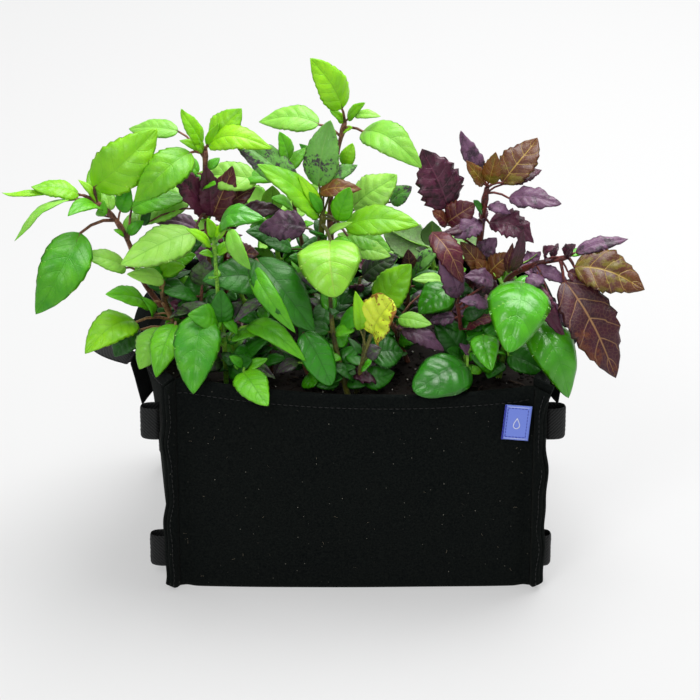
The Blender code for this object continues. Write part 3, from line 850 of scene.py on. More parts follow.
@dataclass
class Webbing:
    """Eight corner loops and two carry handles, cut from one kind of flat webbing."""

    form: BagForm
    width: float = 28 * MM
    thick: float = 1.6 * MM
    half_opening: float = 5.4 * MM
    inset: float = 13 * MM
    gap: float = 0.3 * MM
    handle_half_span: float = 26 * MM
    handle_foot: float = 132 * MM
    handle_bend: float = 167 * MM
    handle_width: float = 22 * MM
    handle_pointing: float = 1.2
    leg_twist: float = math.radians(24)
    leg_stand: float = 2.5 * MM

    def strap(self, name: str, points: np.ndarray, ups: np.ndarray, width: float,
              material: bpy.types.Material, *nodes: str) -> bpy.types.Object:
        """Sweep the webbing's thin section along a line.

        Args:
            name: The piece's name.
            points: The strap's middle line.
            ups: The direction across the strap at each point.
            width: The strap's width.
            material: The webbing.
            nodes: CAD nodes that it replaces.

        Returns:
            The strap.
        """
        along = np.gradient(points, axis=0)
        along /= np.linalg.norm(along, axis=1, keepdims=True)
        ups = ups - along * np.sum(ups * along, axis=1, keepdims=True)
        ups /= np.linalg.norm(ups, axis=1, keepdims=True)
        face = np.cross(along, ups)
        runs = run_lengths(points)
        ribs = 18
        front, back, uvs = [], [], []
        for k in range(ribs + 1):
            share = 2 * k / ribs - 1
            edge = (1 - abs(share) ** 10) * 0.75 + 0.25
            wobble = np.array([0.18 * MM * rough((share * 9, run / MM, 0), 5.0, 3.1) for run in runs])
            relief = 0.14 * MM * math.cos(share * math.pi * 7)
            middle = points + ups * (share * width / 2) + face * wobble[:, None]
            front.append(middle + face * (self.thick / 2 * edge + relief))
            back.append(middle - face * (self.thick / 2 * edge + relief))
            uvs.append(np.stack([np.full(len(points), share * width / 2), runs], axis=1))
        draft = Draft()
        draft.slab(np.array(front), np.array(back), np.array(uvs))
        return place(draft.build(name, [material]), "webbing", *nodes)

    def wall_x(self, y: float, height: float, swell: Swell) -> float:
        """The outer face of a side wall at a depth and a height."""
        middle = self.form.side_out(y / self.form.corner_y, height + self.form.side_dip, swell)
        return middle + self.form.felt / 2

    def loop(self, side: int, end: int, level: str, material: bpy.types.Material) -> None:
        """Make one corner loop in its CAD node's place.

        Args:
            side: -1 for left and 1 for right.
            end: -1 for front and 1 for back.
            level: upper or lower.
            material: The webbing.
        """
        node = f"{'left' if side < 0 else 'right'}_{'front' if end < 0 else 'back'}_{level}_loop"
        low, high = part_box(node)
        root = min(abs(low.x), abs(high.x)) + self.thick / 2
        reach = abs(high.x - low.x) - self.thick
        middle_y, middle_z = (low.y + high.y) / 2, (low.z + high.z) / 2
        steps = 40
        points = []
        for i in range(steps + 1):
            angle = math.pi * (i / steps - 0.5)
            out = reach * math.cos(angle) ** 0.6 if abs(angle) < 1.57 else 0.0
            points.append((side * (root + out), middle_y + end * self.half_opening * math.sin(angle),
                           middle_z))
        line = np.array(points)
        self.strap(node + "_webbing", line, np.tile((0.0, 0.0, 1.0), (len(line), 1)), self.width, material,
                   node)

    def handle(self, side: int, flop: float, reach: float, material: bpy.types.Material) -> None:
        """Make one carry handle.

        Args:
            side: -1 for left and 1 for right.
            flop: How far it is bent up from level, in radians.
            reach: How far it stands out in its middle.
            material: The webbing.
        """
        swell = self.form.left if side < 0 else self.form.right
        rise = np.array((math.cos(flop), 0.0, math.sin(flop)))
        hinge = np.array((self.wall_x(0.0, self.handle_bend, swell) + self.thick + self.gap, 0.0,
                          self.handle_bend))
        points, widths = [], []
        steps = 14
        for i in range(steps + 1):
            angle = math.pi * i / steps
            spread = np.array((0.0, -math.cos(angle) * self.handle_half_span, 0.0))
            points.append(hinge + spread + rise * max(math.sin(angle), 0.0) ** self.handle_pointing * reach)
            level = np.array((0.0, -np.sign(math.cos(angle)), 0.0)) * abs(math.cos(angle))
            widths.append(level + rise * math.sin(angle))
        foot = self.wall_x(self.handle_half_span - self.handle_width / 2, self.handle_foot, swell)
        foot += self.thick / 2 + self.gap
        feet = [np.array((foot, y, self.handle_foot))
                for y in (-self.handle_half_span, self.handle_half_span)]
        points = [feet[0]] + points + [feet[1]]
        widths = [np.array((0.0, -1.0, 0.0))] + widths + [np.array((0.0, 1.0, 0.0))]
        for i, share in enumerate((1.0, 0.8, 0.35)):
            widths[i] = widths[i] + np.array((math.tan(self.leg_twist) * share, 0.0, 0.0))
            points[i] = points[i] + np.array((self.leg_stand * share, 0.0, 0.0))
        mirror = np.array((side, 1.0, 1.0))
        line = smooth_path(points, 5) * mirror
        ups = smooth_path(widths, 5) * mirror
        node = "left_handle" if side < 0 else "right_handle"
        self.strap(node + "_webbing", line, ups, self.handle_width, material, node)

    def build(self) -> None:
        """Build all the loops and both handles."""
        material = WebbingFinish().material()
        for side in (-1, 1):
            for end in (-1, 1):
                for level in ("upper", "lower"):
                    self.loop(side, end, level, material)
        self.handle(-1, math.radians(5), 32 * MM, material)
        self.handle(1, math.radians(50), 26 * MM, material)


# Label -----------------------------------------------------------------------------------

class LabelFinish:
    """Damask label tape: fine satin yarn in one flat colour, painted a little lighter on each
    thread as a highlight and darker between threads as shade.
    """

    def material(self, name: str, low: str, high: str) -> bpy.types.Material:
        """Dress one colour of the tape.

        Args:
            name: The material's name.
            low: The colour between threads, painted shade.
            high: The colour on threads, with a painted highlight.

        Returns:
            Its material.
        """
        material, shader = new_material(name, Roughness=0.55, IOR=1.5, Sheen_Weight=0.1)
        tree = material.node_tree
        where = add(tree, "TexCoord").outputs["Object"]
        # The threads are really 0.15 mm apart; they are drawn at 0.8 mm so that they show.
        weave = add(tree, "TexWave", {"Vector": where, "Scale": per_mm(0.8) / 6.283 * 2, "Distortion": 0.5},
                    bands_direction="Z")
        # The weave paints each thread lighter, a painted highlight, and the gaps darker, painted shade.
        tint = add(tree, "Mix", {"Factor": weave.outputs["Fac"], "A": srgb(low), "B": srgb(high)},
                   data_type="RGBA")
        tree.links.new(tint.outputs[2], shader.inputs["Base Color"])
        bump = add(tree, "Bump", {"Strength": 0.4, "Distance": 0.15 * MM, "Height": weave.outputs["Fac"]})
        tree.links.new(bump.outputs[0], shader.inputs["Normal"])
        return material


@dataclass
class WovenLabel:
    """A small blue label with a folded edge, a dashed border and a plain water drop."""

    width: float = 21 * MM
    height: float = 31 * MM
    thick: float = 0.8 * MM
    lean: float = math.radians(5)
    centre: tuple[float, float, float] = (126 * MM, -103 * MM, 154 * MM)
    border_inset: float = 2.6 * MM

    def spot(self, across: float, up: float, out: float) -> np.ndarray:
        """A place on the label, from its middle, in metres."""
        turned = Matrix.Rotation(self.lean, 3, "Y") @ Vector((across, -out, up))
        return np.array(Vector(self.centre) + turned)

    def bar(self, draft: Draft, start: tuple[float, float], end: tuple[float, float], half: float,
            slot: int) -> None:
        """Lay one raised thread between two places on the label.

        Args:
            draft: The draft that takes it.
            start: Its first end, across and up.
            end: Its last end.
            half: Half its thickness.
            slot: Its material slot.
        """
        surface = self.thick / 2
        path = []
        for share in (0.0, 0.15, 0.5, 0.85, 1.0):
            lift = surface + half * (0.5 if 0 < share < 1 else -0.2)
            path.append(self.spot(start[0] + (end[0] - start[0]) * share,
                                  start[1] + (end[1] - start[1]) * share, lift))
        draft.tube(path, [half * 0.7, half, half, half, half * 0.7], sides=6, slot=slot)

    def build(self) -> None:
        """Build the label tape and its woven figure."""
        finish = LabelFinish()
        materials = [finish.material("blue_label_satin", "#5f78dc", "#8499f2"),
                     finish.material("navy_label_yarn", "#1d2790", "#2c3ab8"),
                     finish.material("white_label_yarn", "#c9d3f5", "#f2f5ff")]
        draft = Draft()
        columns, rows = 22, 30
        front, back, uvs = [], [], []
        for r in range(rows + 1):
            up = (r / rows - 0.5) * self.height
            outer, inner, uv = [], [], []
            for c in range(columns + 1):
                across = (c / columns - 0.5) * self.width
                curl = 0.5 * MM * (c / columns) ** 3 * math.sin(math.pi * r / rows)
                curl += 0.2 * MM * (r / rows) ** 4
                outer.append(self.spot(across, up, self.thick / 2 + curl * 0.4))
                inner.append(self.spot(across, up, -self.thick / 2))
                uv.append((across, up))
            front.append(outer)
            back.append(inner)
            uvs.append(uv)
        draft.slab(np.array(front), np.array(back), np.array(uvs), slot=0)
        half_w, half_h = self.width / 2 - self.border_inset, self.height / 2 - self.border_inset
        for k in range(8):
            self.bar(draft, (-self.width / 2 + 0.5 * MM, (k / 8 - 0.5) * self.height),
                     (-self.width / 2 + 0.5 * MM, ((k + 1) / 8 - 0.5) * self.height), 0.75 * MM, 1)
        for sign in (-1, 1):
            for k in range(9):
                start = -half_h + 2 * half_h * k / 9
                self.bar(draft, (sign * half_w, start), (sign * half_w, start + 2.1 * MM), 0.26 * MM, 1)
            for k in range(6):
                start = -half_w + 2 * half_w * k / 6
                self.bar(draft, (start, sign * half_h), (start + 1.9 * MM, sign * half_h), 0.26 * MM, 1)
            self.bar(draft, (-half_w - 1.1 * MM, sign * (half_h + 1.2 * MM)),
                     (half_w + 1.1 * MM, sign * (half_h + 1.2 * MM)), 0.2 * MM, 2)
        drop = []
        for k in range(25):
            turn = 2 * math.pi * k / 24
            pinch = math.sin(turn / 2) ** 1.4
            drop.append((3.4 * MM * math.sin(turn) * pinch, (4.6 * math.cos(turn) - 0.4) * MM))
        for start, end in zip(drop, drop[1:]):
            self.bar(draft, start, end, 0.42 * MM, 2)
        place(draft.build("label_tape", materials), "label", "woven_label")


# Fill ------------------------------------------------------------------------------------

class SoilFinish:
    """Moist peat and compost: dark brown to black with matt crumbs and a few damp glints."""

    def material(self) -> bpy.types.Material:
        """Dress the potting mix.

        Returns:
            Its material.
        """
        material, shader = new_material("damp_potting_mix", Roughness=0.92, IOR=1.45, Specular_IOR_Level=0.3)
        tree = material.node_tree
        where = add(tree, "TexCoord").outputs["Object"]
        tone = add(tree, "Attribute", attribute_name="tone")
        crumbs = add(tree, "TexNoise", {"Vector": where, "Scale": per_mm(2.5), "Detail": 4.0,
                                        "Roughness": 0.7})
        mixed = add(tree, "Math", {0: crumbs, 1: tone.outputs["Fac"]}, operation="MULTIPLY")
        tint = add(tree, "Mix", {"Factor": mixed, "A": srgb("#060403"), "B": srgb("#2a1d14")},
                   data_type="RGBA")
        tree.links.new(tint.outputs[2], shader.inputs["Base Color"])
        bump = add(tree, "Bump", {"Strength": 0.8, "Distance": 0.8 * MM, "Height": crumbs})
        tree.links.new(bump.outputs[0], shader.inputs["Normal"])
        return material


class PerliteFinish:
    """Expanded volcanic glass: bright white popped grains with a dusty, faintly warm face."""

    def material(self) -> bpy.types.Material:
        """Dress the perlite.

        Returns:
            Its material.
        """
        material, shader = new_material("white_perlite", Roughness=0.8, IOR=1.5)
        tree = material.node_tree
        where = add(tree, "TexCoord").outputs["Object"]
        pits = add(tree, "TexVoronoi", {"Vector": where, "Scale": per_mm(0.8)})
        tint = add(tree, "Mix", {"Factor": pits.outputs["Distance"], "A": srgb("#b9b2a4"),
                                 "B": srgb("#f2efe8")},
                   data_type="RGBA")
        tree.links.new(tint.outputs[2], shader.inputs["Base Color"])
        bump = add(tree, "Bump", {"Strength": 0.7, "Distance": 0.4 * MM, "Height": pits.outputs["Distance"]})
        tree.links.new(bump.outputs[0], shader.inputs["Normal"])
        return material


class BarkFinish:
    """Chipped pine bark and wood fibre: red-brown slivers with darker grain along them."""

    def material(self) -> bpy.types.Material:
        """Dress the bark chips.

        Returns:
            Their material.
        """
        material, shader = new_material("pine_bark", Roughness=0.85, IOR=1.45)
        tree = material.node_tree
        where = add(tree, "TexCoord").outputs["Object"]
        grain = add(tree, "TexNoise", {"Vector": where, "Scale": per_mm(1.5), "Detail": 3.0,
                                       "Distortion": 1.5})
        tint = add(tree, "Mix", {"Factor": grain, "A": srgb("#120a06"), "B": srgb("#3e2918")},
                   data_type="RGBA")
        tree.links.new(tint.outputs[2], shader.inputs["Base Color"])
        bump = add(tree, "Bump", {"Strength": 0.6, "Distance": 0.4 * MM, "Height": grain})
        tree.links.new(bump.outputs[0], shader.inputs["Normal"])
        return material


@dataclass
class PottingBed:
    """The potting mix, its crumbs, perlite and bark, and the nursery root balls inside it."""

    form: BagForm
    top: float = 165.5 * MM
    bottom: float = 3.3 * MM
    clearance: float = 2.3 * MM
    hem_extra: float = 2.4 * MM
    columns: int = 110
    rows: int = 74

    def spot(self, u: float, v: float, height: float) -> np.ndarray:
        """A place inside the walls from shares of -1 to 1 across and back."""
        form = self.form
        inset = self.clearance + self.hem_extra * (height / (163 * MM)) ** 6
        swell = form.right if u > 0 else form.left
        half_x = form.side_out(v * 0.94, height, swell) - inset
        half_y = form.face_out(u * 0.94, height) - inset
        return np.array((u * half_x * 0.995, v * half_y * 0.995, height))

    def relief(self, x: float, y: float) -> float:
        """The soil's rise above its mean level at a place in plan, in metres."""
        where = (x / MM, y / MM, 0.0)
        edge = max(abs(x) / (150 * MM), abs(y) / (104 * MM))
        bank = -2.2 * max(0.0, edge - 0.75) / 0.25
        lumps = 1.5 * rough(where, 24.0) + 1.0 * rough(where, 7.0, 4.0) + 0.5 * rough(where, 3.0, 9.0)
        return (lumps + bank) * MM

    def build(self) -> None:
        """Build the bed and dress the root balls."""
        soil = SoilFinish().material()
        draft = Draft()
        top, bottom, uvs = [], [], []
        for r in range(self.rows + 1):
            upper, lower = [], []
            for c in range(self.columns + 1):
                u, v = 2 * c / self.columns - 1, 2 * r / self.rows - 1
                high = self.spot(u, v, self.top)
                high[2] += self.relief(high[0], high[1])
                upper.append(high)
                lower.append(self.spot(u * 0.985, v * 0.985, self.bottom))
            top.append(upper)
            bottom.append(lower)
        grid = np.array(top)
        draft.slab(grid, np.array(bottom), grid[:, :, :2], tone=0.5)
        place(draft.build("potting_bed", [soil]), "potting_mix", "potting_mix")
        self.scatter(soil)
        self.dress_roots()

    def scatter(self, soil: bpy.types.Material) -> None:
        """Strew crumbs, perlite and bark over the bed.

        Args:
            soil: The crumbs' material.
        """
        dice = random.Random("potting")
        crumbs, perlite, bark = Draft(), Draft(), Draft()
        for _ in range(2600):
            u, v = dice.uniform(-0.96, 0.96), dice.uniform(-0.96, 0.96)
            spot = self.spot(u, v, self.top)
            spot[2] += self.relief(spot[0], spot[1])
            pick = dice.random()
            size = dice.uniform(0.8, 2.4) * MM
            if pick < 0.92:
                crumbs.lump(spot, (size, size * 0.9, size * 0.7), dice, dice.uniform(0.1, 1.0))
            elif pick < 0.97:
                perlite.lump(spot + np.array((0, 0, 0.6 * MM)), (size * 0.42,) * 3, dice, 0.5)
            else:
                bark.lump(spot + np.array((0, 0, 0.5 * MM)), (size * 3.0, size * 0.7, size * 0.45), dice,
                          0.5)
        place(crumbs.build("soil_crumbs", [soil], smooth=False), "potting_mix")
        place(perlite.build("perlite_grains", [PerliteFinish().material()], smooth=False), "potting_mix")
        place(bark.build("bark_chips", [BarkFinish().material()], smooth=False), "potting_mix")

    def dress_roots(self) -> None:
        """Give the root balls, which the mix covers, their own fibrous finish."""
        material, shader = new_material("matted_roots", Roughness=0.9)
        tree = material.node_tree
        where = add(tree, "TexCoord").outputs["Object"]
        strands = add(tree, "TexWave", {"Vector": where, "Scale": per_mm(6), "Distortion": 14.0,
                                        "Detail": 3.0})
        tint = add(tree, "Mix", {"Factor": strands.outputs["Fac"], "A": srgb("#1c130d"),
                                 "B": srgb("#b7a27c")},
                   data_type="RGBA")
        tree.links.new(tint.outputs[2], shader.inputs["Base Color"])
        for name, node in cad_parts.items():
            if name.endswith("_root_ball"):
                node.data.materials.clear()
                node.data.materials.append(material)


# Leaves ----------------------------------------------------------------------------------

@dataclass(frozen=True)
class LeafFinish:
    """One kind of basil blade, with its colours in sRGB hex and its relief in millimetres."""

    name: str
    blade: str
    shade: str
    # Where this is darker than the blade it is painted shade in the sunken vein grooves; where it is paler
    # it is the veins' own colour.
    vein_and_groove_shade: str
    under: str
    blotch: str
    blotch_share: float = 0.0
    blotch_size: float = 2.0
    roughness: float = 0.42
    coat: float = 0.12
    glow: float = 0.35
    vein_show: float = 0.5
    pairs: float = 6.0
    slant: float = 0.2
    margin: float = 0.0

    def material(self) -> bpy.types.Material:
        """Dress the blade: UV x runs across from edge to edge and y from stalk to tip.

        Returns:
            Its material.
        """
        material, shader = new_material(
            self.name, Roughness=self.roughness, IOR=1.42, Coat_Weight=self.coat, Coat_Roughness=0.25,
            Subsurface_Weight=self.glow * 0.6, Subsurface_Radius=(0.5, 0.8, 0.15), Subsurface_Scale=1.0 * MM)
        tree = material.node_tree
        where = add(tree, "TexCoord").outputs["Object"]
        spot = add(tree, "SeparateXYZ", {0: add(tree, "UVMap", uv_map="UVMap")})
        tone = add(tree, "Attribute", attribute_name="tone").outputs["Fac"]
        under = add(tree, "Attribute", attribute_name="under").outputs["Fac"]
        signed = add(tree, "Math", {0: spot.outputs[0], 1: 2.0, 2: -1.0}, operation="MULTIPLY_ADD")
        off = add(tree, "Math", {0: signed}, operation="ABSOLUTE")
        sweep = add(tree, "Math", {0: off, 1: 1.25}, operation="POWER")
        phase = add(tree, "Math", {0: sweep, 1: -self.slant, 2: spot.outputs[1]}, operation="MULTIPLY_ADD")
        turns = add(tree, "Math", {0: phase, 1: self.pairs}, operation="MULTIPLY")
        loose = add(tree, "Math", {0: add(tree, "Math", {0: turns}, operation="FRACT"), 1: 0.5},
                    operation="SUBTRACT")
        near = add(tree, "Math", {0: loose}, operation="ABSOLUTE")
        # Side veins are 0.3 mm wide; they are drawn about 0.8 mm wide so that they show.
        side_vein = add(tree, "MapRange", {"Value": near, "From Min": 0.445, "From Max": 0.5},
                        interpolation_type="SMOOTHSTEP")
        faint = add(tree, "Math", {0: off, 1: -0.45, 2: 1.0}, operation="MULTIPLY_ADD")
        side_vein = add(tree, "Math", {0: side_vein, 1: faint}, operation="MULTIPLY")
        rib = add(tree, "MapRange", {"Value": off, "From Min": 0.06, "From Max": 0.015},
                  interpolation_type="SMOOTHSTEP")
        veins = add(tree, "Math", {0: side_vein, 1: rib}, operation="MAXIMUM")
        net = add(tree, "TexVoronoi", {"Vector": where, "Scale": per_mm(3.2)}, feature="DISTANCE_TO_EDGE")
        lines = add(tree, "MapRange", {"Value": net, "From Min": 0.10, "From Max": 0.0})
        cloud = add(tree, "TexNoise", {"Vector": where, "Scale": per_mm(16), "Detail": 2.0})
        drift = add(tree, "Math", {0: cloud, 1: tone}, operation="ADD")
        blend = add(tree, "MapRange", {"Value": drift, "From Min": 0.55, "From Max": 1.45})
        colour = add(tree, "Mix", {"Factor": blend, "A": srgb(self.shade), "B": srgb(self.blade)},
                     data_type="RGBA")
        if self.blotch_share > 0:
            grain = add(tree, "TexNoise", {"Vector": where, "Scale": per_mm(self.blotch_size), "Detail": 3.0,
                                           "Roughness": 0.65})
            clouds = add(tree, "TexNoise", {"Vector": where, "Scale": per_mm(self.blotch_size * 6)})
            both = add(tree, "Math", {0: grain, 1: clouds}, operation="ADD")
            rim = add(tree, "Math", {0: off, 1: 4.0}, operation="POWER")
            both = add(tree, "Math", {0: rim, 1: self.margin, 2: both}, operation="MULTIPLY_ADD")
            edge = 1.18 - 0.36 * self.blotch_share
            mask = add(tree, "MapRange", {"Value": both, "From Min": edge - 0.05, "From Max": edge + 0.07})
            colour = add(tree, "Mix", {"Factor": mask, "A": colour.outputs[2], "B": srgb(self.blotch)},
                         data_type="RGBA")
        # Veins take the vein colour. In most green kinds it is darker than the blade, painted shade in the
        # sunken grooves; in the purple, bronze and wine kinds it is their own paler colour.
        shown = add(tree, "Math", {0: lines, 1: 0.10}, operation="MULTIPLY")
        shown = add(tree, "Math", {0: add(tree, "Math", {0: veins, 1: self.vein_show}, operation="MULTIPLY"),
                                   1: shown}, operation="MAXIMUM")
        colour = add(tree, "Mix", {"Factor": shown, "A": colour.outputs[2], "B": srgb(self.vein_and_groove_shade)},
                     data_type="RGBA")
        pale = add(tree, "Math", {0: under, 1: 0.7}, operation="MULTIPLY")
        colour = add(tree, "Mix", {"Factor": pale, "A": colour.outputs[2], "B": srgb(self.under)},
                     data_type="RGBA")
        tree.links.new(colour.outputs[2], shader.inputs["Base Color"])
        sink = add(tree, "Math", {0: lines, 1: 0.35}, operation="MULTIPLY")
        sink = add(tree, "Math", {0: veins, 1: sink}, operation="ADD")
        bump = add(tree, "Bump", {"Strength": 0.5, "Distance": 0.5 * MM, "Height": sink}, invert=True)
        tree.links.new(bump.outputs[0], shader.inputs["Normal"])
        return material


@dataclass(frozen=True)
class LeafForm:
    """A blade's outline and relief, as shares of its half width unless they say otherwise."""

    base_power: float = 0.55
    tip_power: float = 0.9
    teeth: int = 8
    tooth_depth: float = 0.05
    fold: float = 0.16
    cup: float = -0.22
    quilt: float = 0.07
    ruffle: float = 0.05
    ruffle_turns: float = 2.5


class LeafKind(Enum):
    """The kinds of blade in the bag: each has a finish and a form."""

    BRIGHT = (LeafFinish("lime_basil_leaf", "#9ade16", "#5aa80c", "#7cc21e", "#b4e066", "#6b4a1e"),
              LeafForm(teeth=9, tooth_depth=0.08))
    FRESH = (LeafFinish("fresh_basil_leaf", "#72c814", "#349008", "#48a010", "#a0d460", "#5a3a1a"),
             LeafForm())
    # PALE's light grey-green is partly the leaf's own tint and partly painted sheen on leaves that catch the
    # light.
    PALE = (LeafFinish("pale_sheen_basil_leaf", "#a0da58", "#6cb82a", "#80c43c", "#b4e088", "#5a3a1a"),
            LeafForm(teeth=9, tooth_depth=0.07))
    DEEP = (LeafFinish("glossy_basil_leaf", "#52b20c", "#166a04", "#3c960a", "#84c84c", "#5a3a1a",
                       roughness=0.28, coat=0.35, pairs=5.0),
            LeafForm(0.4, 0.8, 0, 0.0, 0.2, -0.42, 0.08, 0.05))
    BROAD = (LeafFinish("broad_lime_basil_leaf", "#8ed034", "#5aaa1e", "#a4c050", "#b4e066", "#b08a50",
                        roughness=0.36, coat=0.2),
             LeafForm(0.34, 0.62, 0, 0.0, 0.16, -0.26, 0.05, 0.12, 2.0))
    # GLOSSY_SHADE is a darker copy of the glossy leaf for low leaves at the rim: painted shade.
    GLOSSY_SHADE = (LeafFinish("shaded_glossy_basil_leaf", "#2f8c0c", "#0c4604", "#1c6406", "#4f9030",
                               "#5a3a1a",
                               roughness=0.3, coat=0.3, pairs=5.0, glow=0.2),
                    LeafForm(0.42, 0.6, 0, 0.0, 0.14, -0.36, 0.07, 0.05))
    SHADE = (LeafFinish("shaded_basil_leaf", "#2a7e08", "#0b4402", "#155606", "#4f9030", "#5a3a1a",
                        glow=0.2),
             LeafForm())
    SPECKLED = (LeafFinish("speckled_basil_leaf", "#74b24e", "#4b8e32", "#8cbc62", "#93b876", "#3a2a3c",
                           blotch_share=0.3, blotch_size=2.6, vein_show=0.4, pairs=7.0, slant=0.45),
                LeafForm(teeth=9, tooth_depth=0.08))
    PURPLE = (LeafFinish("purple_basil_leaf", "#642844", "#361022", "#94526c", "#6c4466", "#2a0e1a",
                         blotch_share=0.3, blotch_size=5.0, roughness=0.4, glow=0.1, vein_show=0.3),
              LeafForm(0.62, 1.0, 8, 0.20, 0.22, -0.18, 0.10, 0.13, 3.0))
    # MAUVE's lighter greyish purple is partly the leaf's own tint and partly painted sheen on purple leaves.
    MAUVE = (LeafFinish("mauve_sheen_basil_leaf", "#7b5574", "#48283f", "#8e6a88", "#80627f", "#33202f",
                        blotch_share=0.3, blotch_size=6.0, roughness=0.45, glow=0.1, vein_show=0.25),
             LeafForm(0.6, 0.95, 7, 0.16, 0.16, -0.26, 0.10, 0.15, 3.0))
    BRONZE = (LeafFinish("bronze_basil_leaf", "#7c4a1a", "#4a2016", "#b89a44", "#6c5030", "#6a5c14",
                         blotch_share=0.14, blotch_size=8.0, glow=0.15, vein_show=0.7, pairs=5.0),
              LeafForm(0.6, 0.95, 8, 0.14, 0.14, -0.12, 0.07, 0.08))
    WINE = (LeafFinish("wine_basil_leaf", "#5a142c", "#300a18", "#b48a58", "#6a3450", "#5c2a18",
                       blotch_share=0.05, blotch_size=9.0, glow=0.1, vein_show=0.65, pairs=5.0),
            LeafForm(0.6, 0.95, 8, 0.14, 0.14, -0.12, 0.07, 0.08))
    GREYED = (LeafFinish("grey_green_basil_leaf", "#5c7d42", "#2c4422", "#7a9660", "#7f9468", "#3c2c3c",
                         blotch_share=0.45, blotch_size=4.0, glow=0.2, vein_show=0.3), LeafForm())
    YELLOW = (LeafFinish("dying_basil_leaf", "#dcee44", "#b4cc22", "#a8bc30", "#d4dc6c", "#8a5414",
                         blotch_share=0.2, blotch_size=3.4, glow=0.3, roughness=0.55, margin=0.3, pairs=5.0),
              LeafForm(0.3, 0.3, 6, 0.08, 0.12, 0.16, 0.16, 0.12, 2.0))

    @property
    def finish(self) -> LeafFinish:
        """The kind's colours and gloss."""
        return self.value[0]

    @property
    def form(self) -> LeafForm:
        """The kind's outline and relief."""
        return self.value[1]


class Leaf(NamedTuple):
    """One leaf: its kind, where it leaves its stem (0 root, 1 apex), its tip and width in mm.

    arch is its rise as a share of its length, roll its turn about its length in degrees, foot the
    blade's lower end in mm where a long stalk carries it, and cup an extra curl of its edges.
    """

    kind: LeafKind
    at: float
    tip: tuple[float, float, float]
    width: float
    arch: float = 0.1
    roll: float = 0.0
    foot: Optional[tuple[float, float, float]] = None
    cup: float = 0.0


